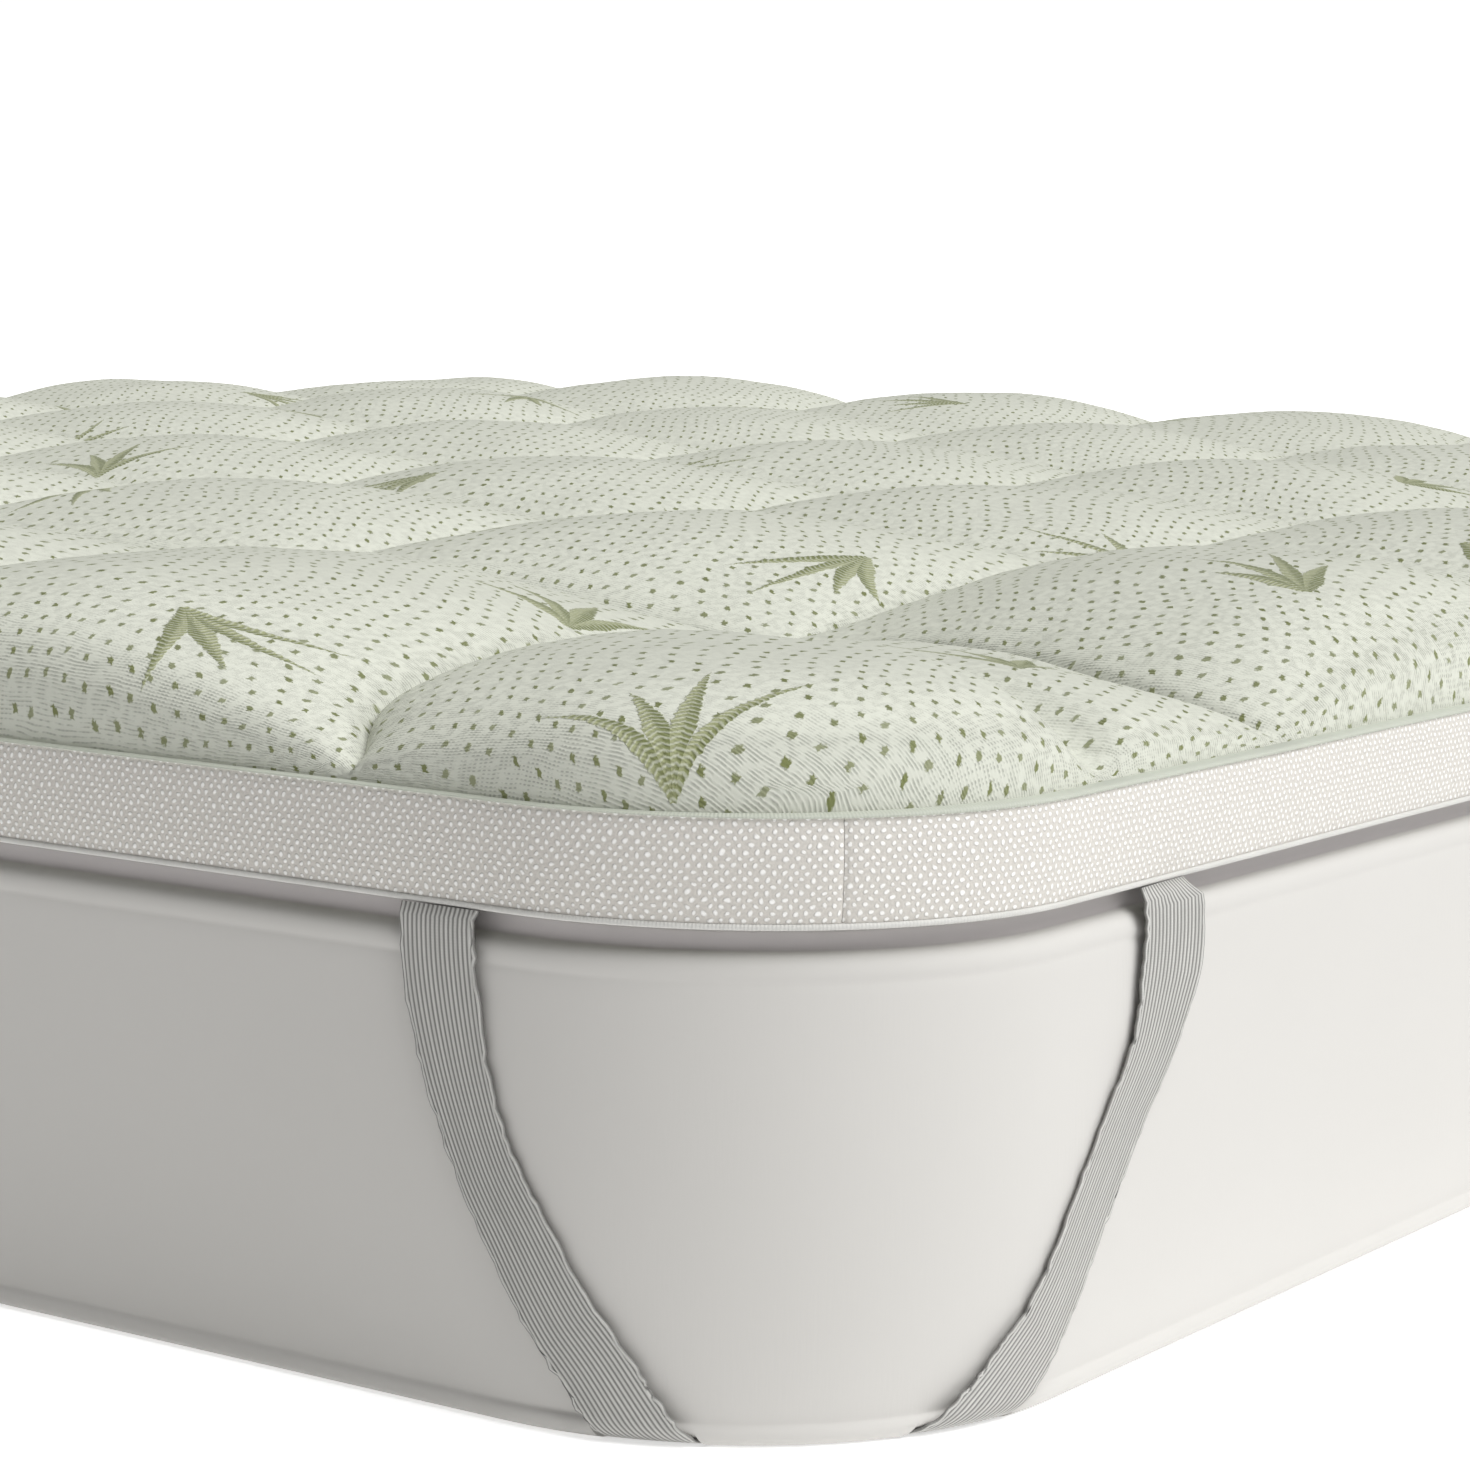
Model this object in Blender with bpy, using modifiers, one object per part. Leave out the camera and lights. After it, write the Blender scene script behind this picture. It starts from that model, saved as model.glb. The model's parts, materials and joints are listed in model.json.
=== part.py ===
"""A quilted mattress topper with a mesh border and four corner straps, lying on a plain mattress.

Metres, +Z up. X is the width, Y the length, and the origin is at the middle of the mattress's flat base.
The topper is one filled quilted body, a border strip round its side, a tape along each edge of that strip,
and an elastic strap at each corner that runs down the mattress, under its corner and up again.
"""

import math

import bmesh
import bpy

# Overall plan, shared by topper and mattress
WIDTH = 1.800
LENGTH = 2.000
CORNER_RADIUS = 0.145
GAP = 0.0003
SHARP_FOLD = math.radians(50)

# Heights above the floor
MATTRESS_HEIGHT = 0.185
BORDER_HEIGHT = 0.041
TOPPER_BASE = MATTRESS_HEIGHT + GAP
BORDER_TOP = TOPPER_BASE + BORDER_HEIGHT

# Quilting: six pillows each way, the end rows longer than the rest
PILLOW_PITCH = 0.300
PILLOWS_ACROSS = 6
PILLOWS_ALONG = 6
CHANNEL_RISE = 0.027
CREST_RISE = 0.056
EDGE_RUN = 0.200
EDGE_POWER = 0.9
PILLOW_POWER = 0.62
CREST_VARIATION = 0.05
VARIATION_PHASE = {"across": 2.1, "along": 1.3, "both": 0.7}
# The front right pillow is lower than the rest, and the quilt dips where its two channels cross
CORNER_CREST = 0.55
CORNER_DIP = {"x": 0.600, "y": -0.600, "reach": 0.150, "depth": 0.014}
FRONT_RIGHT_PILLOW = (PILLOWS_ACROSS - 1, 0)
CHANNEL_BOW = {"across": 0.060, "along": 0.040}
BOW_REACH = 0.160
BOW_GROWTH = 3
BOW_EDGE_FADE = 8
PILLOW_STEPS = (0.0, 0.06, 0.20, 0.40, 0.60, 0.80, 0.94)

# Border strip and the tapes that bind its two edges
TAPE_RADIUS = 0.0020
BORDER_INSET = 0.0010
BORDER_THICKNESS = 0.0030
BORDER_BULGE = 0.0008
BORDER_ROWS = 3
FACET_ALLOWANCE = 0.0004
BODY_INSET = BORDER_INSET + BORDER_THICKNESS + FACET_ALLOWANCE + GAP
TAPE_SIDES_RESOLUTION = 0

# Outline steps: points on each corner's quarter circle and on each straight side
CORNER_STEPS = 12
SIDE_STEPS = 4

# Mattress profile from the base up: how far each ring lies inside the outline, and its height
BASE_FLAT_INSET = 0.009
MATTRESS_PROFILE = (
    # inset, height
    (BASE_FLAT_INSET, 0.0000),
    (0.0050, 0.0008),
    (0.0022, 0.0030),
    (0.0016, 0.0060),
    (0.0036, 0.0088),
    (0.0024, 0.0140),
    (0.0008, 0.0500),
    (0.0002, 0.0900),
    (0.0008, 0.1350),
    (0.0020, 0.1670),
    (0.0052, 0.1738),
    (0.0110, 0.1770),
    (0.0135, 0.1820),
    (0.0190, MATTRESS_HEIGHT),
)

# Corner straps
STRAP_WIDTH = 0.035
STRAP_THICKNESS = 0.0015
STRAP_CLEARANCE = 0.0020
STRAP_WRAP_RADIUS = 0.0090
STRAP_STATIONS = 40
STRAP_COLUMNS = 4
WRAP_DENSITY = 4.0
WRAP_MARGIN = 0.012
CURVE_STEPS = 12
STRAP_TOP_INSET = 0.0022
STRAP_TOP_REACH = 0.016
STRAP_TOP_EASE = 1.5
STRAP_TWIST_START = 4.0
STRAP_TWIST = {"end": 0.0015, "side": 0.0060}
STRAP_UNDER_STEPS = 3
# Each side's run: distance along the outline from the middle of the corner, and height above the floor
END_RUN = (
    # along, height
    (0.145, MATTRESS_HEIGHT),
    (0.142, 0.1430),
    (0.134, 0.1160),
    (0.119, 0.0880),
    (0.102, 0.0600),
    (0.087, 0.0360),
    (0.077, 0.0210),
)
SIDE_RUN = (
    # along, height
    (0.186, MATTRESS_HEIGHT),
    (0.193, 0.1660),
    (0.191, 0.1480),
    (0.181, 0.1230),
    (0.164, 0.0990),
    (0.141, 0.0710),
    (0.121, 0.0470),
    (0.102, 0.0270),
)
# How far down the side a strap's middle surface starts to turn under
SIDE_DROP = MATTRESS_HEIGHT - STRAP_WRAP_RADIUS - GAP - STRAP_THICKNESS / 2
UNDER_ALONG = 0.048
UNDER_INSET = 0.040

# The shallow groove that each strap presses into the mattress's base
GROOVE_MARGIN = 0.0015
GROOVE_THICKNESS = 0.0080
GROOVE_OFFSET = 0.45

COLOURS = {
    # name: sRGB colour, roughness
    "quilted_body": ("#DDE1D2", 0.90),
    "border_strip": ("#DAD8D3", 0.85),
    "top_tape": ("#C8CDC1", 0.75),
    "bottom_tape": ("#DEDDD9", 0.75),
    "corner_strap": ("#B9B9B4", 0.70),
    "mattress": ("#E2E1DC", 0.92),
}


def linear(channel):
    """One sRGB channel, 0 to 1, as linear light."""
    if channel <= 0.04045:
        return channel / 12.92
    return ((channel + 0.055) / 1.055) ** 2.4


def cloth_material(name):
    """A plain matt cloth colour for one kind of piece."""
    colour, roughness = COLOURS[name]
    material = bpy.data.materials.get(name) or bpy.data.materials.new(name)
    material.use_nodes = True
    shader = material.node_tree.nodes["Principled BSDF"]
    channels = [int(colour[start:start + 2], 16) / 255 for start in (1, 3, 5)]
    shader.inputs["Base Color"].default_value = [linear(channel) for channel in channels] + [1.0]
    shader.inputs["Roughness"].default_value = roughness
    shader.inputs["Metallic"].default_value = 0.0
    return material


def add_object(name, mesh, collection, kind):
    """One named object in the given collection, with its cloth colour."""
    mesh.name = name
    obj = bpy.data.objects.new(name, mesh)
    collection.objects.link(obj)
    if kind:
        mesh.materials.append(cloth_material(kind))
    return obj


def finish_mesh(mesh_builder, name):
    """The bmesh as a mesh with its faces pointing out and shaded smooth, but for its sharp folds."""
    bmesh.ops.recalc_face_normals(mesh_builder, faces=mesh_builder.faces)
    mesh = bpy.data.meshes.new(name)
    mesh_builder.to_mesh(mesh)
    mesh_builder.free()
    mesh.shade_smooth()
    mesh.set_sharp_from_angle(angle=SHARP_FOLD)
    return mesh


def outline_point(along, inset):
    """Plan point at a distance along the outline from the middle of the front right corner.

    Positive distances run up the long right side, negative ones along the front end. The inset moves the
    point towards the middle of the bed.
    """
    arc = CORNER_RADIUS * math.pi / 2
    centre_x = WIDTH / 2 - CORNER_RADIUS
    centre_y = LENGTH / 2 - CORNER_RADIUS
    radius = CORNER_RADIUS - inset
    half_turns, place = divmod(along, 2 * (centre_x + centre_y + arc))
    side_start = arc / 2
    back_corner = side_start + 2 * centre_y
    end_start = back_corner + arc
    left_corner = end_start + 2 * centre_x
    if place <= side_start:
        angle = place / CORNER_RADIUS - math.pi / 4
        x, y = centre_x + radius * math.cos(angle), radius * math.sin(angle) - centre_y
    elif place <= back_corner:
        x, y = centre_x + radius, place - side_start - centre_y
    elif place <= end_start:
        angle = (place - back_corner) / CORNER_RADIUS
        x, y = centre_x + radius * math.cos(angle), centre_y + radius * math.sin(angle)
    elif place <= left_corner:
        x, y = centre_x - (place - end_start), centre_y + radius
    else:
        angle = math.pi / 2 + (place - left_corner) / CORNER_RADIUS
        x, y = radius * math.cos(angle) - centre_x, centre_y + radius * math.sin(angle)
    return (x, y) if half_turns % 2 == 0 else (-x, -y)


def plan_outline(inset):
    """Closed outline at an inset, anticlockwise from the middle of the front right corner."""
    arc = CORNER_RADIUS * math.pi / 2
    stretches = [(arc / 2, CORNER_STEPS // 2), (LENGTH - 2 * CORNER_RADIUS, SIDE_STEPS), (arc, CORNER_STEPS),
                 (WIDTH - 2 * CORNER_RADIUS, SIDE_STEPS), (arc / 2, CORNER_STEPS // 2)]
    half = []
    place = 0.0
    for length, steps in stretches:
        half += [outline_point(place + length * step / steps, inset) for step in range(steps)]
        place += length
    return half + [(-x, -y) for x, y in half]


def loft_rings(rings):
    """Closed body through rings of points of equal number, with a flat cap at each end."""
    builder = bmesh.new()
    loops = []
    for ring in rings:
        verts = [builder.verts.new(point) for point in ring]
        loops.append([builder.edges.new((verts[k], verts[(k + 1) % len(verts)])) for k in range(len(verts))])
    for lower, upper in zip(loops, loops[1:]):
        bmesh.ops.bridge_loops(builder, edges=lower + upper)
    for end in (loops[0], loops[-1]):
        bmesh.ops.contextual_create(builder, geom=end)
    return builder


def build_mattress(collection):
    """The plain mattress: flat base with a rolled edge, near upright sides, soft shoulder and flat top."""
    rings = [[(x, y, height) for x, y in plan_outline(inset)] for inset, height in MATTRESS_PROFILE]
    return add_object("mattress", finish_mesh(loft_rings(rings), "mattress"), collection, "mattress")


def channel_lines(size, count):
    """Places of the sewn channels across one direction of the quilt, its two edges included."""
    end_row = (size - (count - 2) * PILLOW_PITCH) / 2
    inner = [-size / 2 + end_row + PILLOW_PITCH * k for k in range(count - 1)]
    return [-size / 2] + inner + [size / 2]


def quilt_stations(size, count):
    """Grid lines across the quilt: each as its place, pillow number and place within the pillow, 0 to 1."""
    lines = channel_lines(size, count)
    stations = []
    for pillow in range(count):
        span = lines[pillow + 1] - lines[pillow]
        stations += [(lines[pillow] + span * step, pillow, step) for step in PILLOW_STEPS]
    return stations + [(lines[-1], count - 1, 1.0)]


def bow(place, other, size, other_size, most):
    """How far a channel bends towards the nearer corner as it meets the edge that it crosses."""
    to_edge = (other_size / 2 - abs(other)) / BOW_REACH
    outer = (abs(place) / (size / 2)) ** BOW_GROWTH
    inside = 1 - (abs(place) / (size / 2)) ** BOW_EDGE_FADE
    return math.copysign(most * outer * inside * math.exp(-to_edge ** 2), place)


def round_corner(x, y):
    """Moves a point of the square-cornered plan into the round-cornered one."""
    radius = CORNER_RADIUS - BODY_INSET
    half_x = WIDTH / 2 - BODY_INSET
    half_y = LENGTH / 2 - BODY_INSET
    x = x * half_x / (WIDTH / 2)
    y = y * half_y / (LENGTH / 2)
    over_x = (abs(x) - half_x + radius) / radius
    over_y = (abs(y) - half_y + radius) / radius
    if over_x <= 0 or over_y <= 0:
        return x, y
    round_x = over_x * math.sqrt(1 - over_y ** 2 / 2)
    round_y = over_y * math.sqrt(1 - over_x ** 2 / 2)
    return (math.copysign(half_x - radius + radius * round_x, x),
            math.copysign(half_y - radius + radius * round_y, y))


def edge_distance(x, y):
    """Distance from a plan point to the round-cornered edge of the quilted body."""
    radius = CORNER_RADIUS - BODY_INSET
    over_x = abs(x) - WIDTH / 2 + CORNER_RADIUS
    over_y = abs(y) - LENGTH / 2 + CORNER_RADIUS
    if over_x > 0 and over_y > 0:
        return max(0.0, radius - math.hypot(over_x, over_y))
    return max(0.0, radius - max(over_x, over_y))


def pillow_swell(step, pillow, count):
    """Swell across one pillow, 1 at its middle and 0 at a channel; an end pillow has a channel on one side."""
    across = step - 0.5
    if (pillow == 0 and across < 0) or (pillow == count - 1 and across > 0):
        return 1.0
    return max(0.0, math.cos(math.pi * across)) ** PILLOW_POWER


def quilt_height(x, y, column, row):
    """Height of the quilted top above the border's top edge."""
    (_, across, step_x), (_, along, step_y) = column, row
    rise = math.sin(math.pi / 2 * min(1.0, edge_distance(x, y) / EDGE_RUN)) ** EDGE_POWER
    swell = pillow_swell(step_x, across, PILLOWS_ACROSS) * pillow_swell(step_y, along, PILLOWS_ALONG)
    phase = (VARIATION_PHASE["across"] * across + VARIATION_PHASE["along"] * along
             + VARIATION_PHASE["both"] * across * along)
    uneven = 1 + CREST_VARIATION * math.sin(phase)
    if (across, along) == FRONT_RIGHT_PILLOW:
        uneven = CORNER_CREST
    dip = math.hypot(x - CORNER_DIP["x"], y - CORNER_DIP["y"]) / CORNER_DIP["reach"]
    lower = CORNER_DIP["depth"] * math.exp(-dip ** 2)
    return rise * (CHANNEL_RISE + (CREST_RISE - CHANNEL_RISE) * swell * uneven - lower)


def build_quilted_body(collection):
    """The filled body: a quilted top that rises from its edge in pillows, upright sides and a flat underside."""
    columns = quilt_stations(WIDTH, PILLOWS_ACROSS)
    rows = quilt_stations(LENGTH, PILLOWS_ALONG)
    builder = bmesh.new()
    bmesh.ops.create_grid(builder, x_segments=len(columns) - 1, y_segments=len(rows) - 1, size=0.5)
    for vert in builder.verts:
        column = columns[round((vert.co.x + 0.5) * (len(columns) - 1))]
        row = rows[round((vert.co.y + 0.5) * (len(rows) - 1))]
        x = column[0] + bow(column[0], row[0], WIDTH, LENGTH, CHANNEL_BOW["across"])
        y = row[0] + bow(row[0], column[0], LENGTH, WIDTH, CHANNEL_BOW["along"])
        x, y = round_corner(x, y)
        vert.co = (x, y, BORDER_TOP + quilt_height(x, y, column, row))
    rim = [edge for edge in builder.edges if edge.is_boundary]
    sides = bmesh.ops.extrude_edge_only(builder, edges=rim)["geom"]
    for vert in (item for item in sides if isinstance(item, bmesh.types.BMVert)):
        vert.co.z = TOPPER_BASE
    underside = [item for item in sides if isinstance(item, bmesh.types.BMEdge) and item.is_boundary]
    bmesh.ops.contextual_create(builder, geom=underside)
    return add_object("quilted_body", finish_mesh(builder, "quilted_body"), collection, "quilted_body")


def build_border_strip(collection):
    """The mesh border: one strip round the body, its two ends meeting at the front right corner."""
    low = TOPPER_BASE + 2 * TAPE_RADIUS + GAP
    high = BORDER_TOP - TAPE_RADIUS - GAP
    plan = plan_outline(BORDER_INSET)
    seam_x, seam_y = plan[0]
    along_x, along_y = plan[1][0] - plan[-1][0], plan[1][1] - plan[-1][1]
    scale = GAP / 2 / math.hypot(along_x, along_y)
    first = (seam_x + along_x * scale, seam_y + along_y * scale)
    last = (seam_x - along_x * scale, seam_y - along_y * scale)
    strip = [first] + plan[1:] + [last]
    builder = bmesh.new()
    rows = []
    for level in range(BORDER_ROWS):
        part = level / (BORDER_ROWS - 1)
        swell = 1 + BORDER_BULGE * math.sin(math.pi * part) / (WIDTH / 2)
        rows.append([builder.verts.new((x * swell, y * swell, low + (high - low) * part)) for x, y in strip])
    for below, above in zip(rows, rows[1:]):
        for k in range(len(strip) - 1):
            builder.faces.new((below[k], below[k + 1], above[k + 1], above[k]))
    obj = add_object("border_strip", finish_mesh(builder, "border_strip"), collection, "border_strip")
    add_thickness(obj, BORDER_THICKNESS, -1.0)
    return obj


def add_thickness(obj, thickness, offset):
    """Solidify: an offset of -1 grows against the faces' normals, +1 along them, 0 both ways."""
    shell = obj.modifiers.new("thickness", "SOLIDIFY")
    shell.thickness = thickness
    shell.offset = offset
    shell.use_even_offset = True


def build_tape(name, height, collection):
    """A tape along one edge of the border, as a thin closed tube on the outline."""
    curve = bpy.data.curves.new(name, "CURVE")
    curve.dimensions = "3D"
    curve.bevel_depth = TAPE_RADIUS
    curve.bevel_resolution = TAPE_SIDES_RESOLUTION
    spline = curve.splines.new("POLY")
    plan = plan_outline(TAPE_RADIUS)
    spline.points.add(len(plan) - 1)
    for point, (x, y) in zip(spline.points, plan):
        point.co = (x, y, height, 1.0)
    spline.use_cyclic_u = True
    return add_object(name, curve, collection, name)


def strap_path():
    """Middle line of one strap: distance along the outline and distance down the wrap, from end to side."""
    floor_drop = SIDE_DROP + STRAP_WRAP_RADIUS * math.pi / 2
    down = [(-along, MATTRESS_HEIGHT - height) for along, height in END_RUN]
    up = [(along, MATTRESS_HEIGHT - height) for along, height in reversed(SIDE_RUN)]
    edge_angle = UNDER_ALONG / CORNER_RADIUS
    chord = (CORNER_RADIUS - UNDER_INSET) * math.cos(edge_angle)
    under = []
    for step in range(STRAP_UNDER_STEPS):
        angle = edge_angle * (2 * step / (STRAP_UNDER_STEPS - 1) - 1)
        inset = CORNER_RADIUS - chord / math.cos(angle)
        under.append((angle * CORNER_RADIUS, floor_drop + inset - STRAP_WRAP_RADIUS))
    return down + under + up


def station_weight(drop):
    """How closely stations stand at a drop: closer where the strap turns under the mattress's edge."""
    turn = STRAP_WRAP_RADIUS * math.pi / 2
    return WRAP_DENSITY if -WRAP_MARGIN < drop - SIDE_DROP < turn + WRAP_MARGIN else 1.0


def smooth_curve(points, count):
    """Points on a smooth curve through the given ones (Catmull-Rom), spaced by the stations' weight."""
    ends = [points[0]] + list(points) + [points[-1]]
    fine = []
    for before, start, end, after in zip(ends, ends[1:], ends[2:], ends[3:]):
        for part in (k / CURVE_STEPS for k in range(CURVE_STEPS)):
            fine.append(tuple(
                0.5 * (2 * b + (c - a) * part + (2 * a - 5 * b + 4 * c - d) * part ** 2
                       + (3 * b - a - 3 * c + d) * part ** 3)
                for a, b, c, d in zip(before, start, end, after)))
    fine.append(tuple(points[-1]))
    reach = [0.0]
    for start, end in zip(fine, fine[1:]):
        reach.append(reach[-1] + math.dist(start, end) * station_weight(end[1]))
    even = []
    for k in range(count):
        target = reach[-1] * k / (count - 1)
        slot = max(j for j in range(len(fine) - 1) if reach[j] <= target)
        part = (target - reach[slot]) / max(reach[slot + 1] - reach[slot], 1e-9)
        even.append(tuple(a + (b - a) * min(part, 1.0) for a, b in zip(fine[slot], fine[slot + 1])))
    return even


def wrapped_point(along, drop, lift):
    """A point of the strap's middle surface, given as unrolled distances, folded round the mattress's edge."""
    radius = STRAP_WRAP_RADIUS
    outside = STRAP_CLEARANCE + STRAP_THICKNESS / 2 + lift
    if drop <= SIDE_DROP:
        part = max(0.0, 1 - drop / STRAP_TOP_REACH)
        out = outside + (-STRAP_TOP_INSET - outside) * part ** STRAP_TOP_EASE
        x, y = outline_point(along, -out)
        return x, y, MATTRESS_HEIGHT - drop
    turn = min((drop - SIDE_DROP) / radius, math.pi / 2)
    beyond = max(0.0, drop - SIDE_DROP - radius * math.pi / 2)
    fade = 1 - turn / (math.pi / 2)
    out = STRAP_CLEARANCE + STRAP_THICKNESS / 2 + lift * fade
    x, y = outline_point(along, -out + radius * (1 - math.cos(turn)) + beyond)
    return x, y, MATTRESS_HEIGHT - SIDE_DROP - radius * math.sin(turn)


def strap_surface(extra_width):
    """The strap's middle surface at the front right corner, as a grid folded round the mattress."""
    centre = smooth_curve(strap_path(), STRAP_STATIONS)
    builder = bmesh.new()
    bmesh.ops.create_grid(builder, x_segments=STRAP_COLUMNS, y_segments=STRAP_STATIONS - 1, size=0.5)
    for vert in builder.verts:
        station = round((vert.co.y + 0.5) * (STRAP_STATIONS - 1))
        along, drop = centre[station]
        before, after = centre[max(station - 1, 0)], centre[min(station + 1, STRAP_STATIONS - 1)]
        step = (after[0] - before[0], after[1] - before[1])
        reach = vert.co.x * (STRAP_WIDTH + 2 * extra_width)
        length = math.hypot(*step)
        across_along, across_drop = -step[1] / length, step[0] / length
        if station in (0, STRAP_STATIONS - 1):
            across_along, across_drop = math.copysign(1.0, across_along), 0.0
        place = along + reach * across_along
        twist = STRAP_TWIST["end" if along < 0 else "side"]
        middle = min(1.0, STRAP_TWIST_START * drop / MATTRESS_HEIGHT) * max(0.0, 1 - drop / MATTRESS_HEIGHT)
        lift = twist * middle * (1 + (abs(along) - abs(place)) / (STRAP_WIDTH / 2))
        vert.co = wrapped_point(place, max(drop + reach * across_drop, 0.0), lift)
    return builder


CORNERS = (
    # name, mirrored across X, mirrored across Y
    ("front_right", 1, 1),
    ("back_right", 1, -1),
    ("back_left", -1, -1),
    ("front_left", -1, 1),
)


def strap_mesh(name, extra_width, flip_x, flip_y):
    """The strap's surface placed at one corner."""
    builder = strap_surface(extra_width)
    for vert in builder.verts:
        vert.co.x *= flip_x
        vert.co.y *= flip_y
    bmesh.ops.recalc_face_normals(builder, faces=builder.faces)
    mesh = bpy.data.meshes.new(name)
    builder.to_mesh(mesh)
    builder.free()
    mesh.shade_smooth()
    return mesh


def face_outwards(obj):
    """Turns the strap's faces so that their normals point away from the mattress."""
    mesh = obj.data
    inward = sum(1 if polygon.normal.x * polygon.center.x + polygon.normal.y * polygon.center.y < 0 else -1
                 for polygon in mesh.polygons if abs(polygon.normal.z) < 0.5)
    if inward > 0:
        mesh.flip_normals()


def build_straps(collection, cutters, mattress):
    """Four elastic straps, and the groove that each one presses into the mattress's base."""
    for corner, flip_x, flip_y in CORNERS:
        name = "strap_" + corner
        strap = add_object(name, strap_mesh(name, 0.0, flip_x, flip_y), collection, "corner_strap")
        face_outwards(strap)
        add_thickness(strap, STRAP_THICKNESS, 0.0)
        groove = add_object("groove_" + corner, strap_mesh("groove_" + corner, GROOVE_MARGIN, flip_x, flip_y),
                            cutters, None)
        face_outwards(groove)
        add_thickness(groove, GROOVE_THICKNESS, GROOVE_OFFSET)
        groove.hide_render = True
        groove.display_type = "WIRE"
    cut = mattress.modifiers.new("grooves", "BOOLEAN")
    cut.operation = "DIFFERENCE"
    cut.solver = "EXACT"
    cut.operand_type = "COLLECTION"
    cut.collection = cutters


def clear_scene():
    """Removes the objects that the scene starts with."""
    for obj in list(bpy.data.objects):
        bpy.data.objects.remove(obj)


def build():
    """The whole topper on its mattress."""
    clear_scene()
    collection = bpy.data.collections.new("mattress_topper")
    cutters = bpy.data.collections.new("cutters")
    for group in (collection, cutters):
        bpy.context.scene.collection.children.link(group)
    mattress = build_mattress(collection)
    build_quilted_body(collection)
    build_border_strip(collection)
    build_tape("top_tape", BORDER_TOP, collection)
    build_tape("bottom_tape", TOPPER_BASE + TAPE_RADIUS, collection)
    build_straps(collection, cutters, mattress)


build()
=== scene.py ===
"""A quilted mattress topper on a plain mattress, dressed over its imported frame.

Metres, +Z up. X is the width and Y the length, with the front right corner at +X and -Y.
"""

import json
import math
from functools import partial

import bmesh
import bpy
from mathutils import Matrix, Vector, noise

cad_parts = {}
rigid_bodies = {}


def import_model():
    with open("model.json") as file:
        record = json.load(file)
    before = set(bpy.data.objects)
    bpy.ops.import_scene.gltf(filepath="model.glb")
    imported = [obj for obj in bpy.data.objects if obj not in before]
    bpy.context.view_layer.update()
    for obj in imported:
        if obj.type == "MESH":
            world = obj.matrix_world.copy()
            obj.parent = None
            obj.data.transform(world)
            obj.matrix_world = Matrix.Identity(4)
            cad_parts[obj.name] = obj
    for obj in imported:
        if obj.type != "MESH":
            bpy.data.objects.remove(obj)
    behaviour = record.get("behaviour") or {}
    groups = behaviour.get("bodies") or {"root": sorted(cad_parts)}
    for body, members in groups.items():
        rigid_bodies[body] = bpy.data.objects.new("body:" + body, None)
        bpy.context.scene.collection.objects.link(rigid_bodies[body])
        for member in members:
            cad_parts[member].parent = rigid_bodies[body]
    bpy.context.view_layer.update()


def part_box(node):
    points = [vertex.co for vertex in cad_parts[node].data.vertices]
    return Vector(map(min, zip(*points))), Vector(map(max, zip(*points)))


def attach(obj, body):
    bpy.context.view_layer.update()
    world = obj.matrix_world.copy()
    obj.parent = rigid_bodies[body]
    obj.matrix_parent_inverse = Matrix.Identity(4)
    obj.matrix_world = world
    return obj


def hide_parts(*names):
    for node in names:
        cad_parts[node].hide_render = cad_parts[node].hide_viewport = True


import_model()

bl_info = {
    "name": "Quilted mattress topper",
    "version": (1, 0, 0),
    "blender": (4, 5, 0),
    "location": "View3D > Sidebar > Topper",
    "description": "Builds a quilted topper with a mesh border and corner straps on a plain mattress",
    "category": "Add Mesh",
}

GAP = 0.0003
TAPE_RADIUS = 0.002
MATTRESS_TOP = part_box("mattress")[1][2]
TOPPER_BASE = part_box("quilted_body")[0][2]
BORDER_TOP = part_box("top_tape")[1][2] - TAPE_RADIUS

# Quilting: six pillows each way, the end rows longer than the rest. Mesh cells crowd at the channels
PILLOWS = 6
PILLOW_CELLS = 40
CELL_CROWDING = 0.095
FRONT_RIGHT_PILLOW = (PILLOWS - 1, 0)
BODY_INSET = 0.0044
# How the quilt rises from its edge: over what distance, and how bluntly. The back end is rounder
EDGE_RUN = 0.120
EDGE_POWER = 0.33
BACK_EDGE = {"more_run": 0.050, "more_power": 0.13, "start": 0.450, "full": 0.850}
# How the sewn channels rise from the edge, and how the pillows swell and vary between them
CHANNEL_RUN = 0.180
CHANNEL_RUN_POWER = 0.8
PILLOW_POWER = 0.62
CREST_VARIATION = 0.05
VARIATION_PHASE = {"across": 2.1, "along": 1.3, "both": 0.7}
# Pillows that stand higher than the rest, and where the quilt lies lower
PROUD_PILLOWS = {(1, 4): 0.0047, (1, 5): 0.0045, (2, 5): 0.0035}
DIPS = (
    # x, y, reach, depth of the pillows, depth of the channels
    (0.600, -0.600, 0.160, 0.008, 0.016),
    (-0.830, 0.800, 0.110, 0.020, 0.010),
)
SOFTNESS = (
    # height of the cloth's unevenness, waves to a metre, place in the noise
    (0.0016, 16, 0.5), (0.0006, 50, 3.5),
)
# How much of the cloth's extra length down its steep edges goes into its pattern; the rest stretches it
SPARE_PART = 0.8
SPARE_STEPS = 200
# How far the outermost channels bend towards the corners where they meet the edge
CHANNEL_BOW = {"across": 0.017, "along": 0.009}
FRONT_RIGHT_BOW = {"across": 0.047, "along": 0.085}
BOW_REACH = 0.170
# The front right corner's channel turns further at its very end
END_TURN = 0.033
END_TURN_REACH = 0.045
# The front right pillow is a dome, and behind a soft crease a lower hump
DOME_CREST = 0.59
DOME_POWER = 0.50
HUMP_CREST = 0.30
HUMP_REACH = 2.5
HUMP_AT_CREASE = 0.6
CREASE = {"x": 0.750, "y": -0.783, "turn": 2.0, "width": 0.018, "start": 0.690, "full": 0.880, "depth": 0.92}

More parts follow.
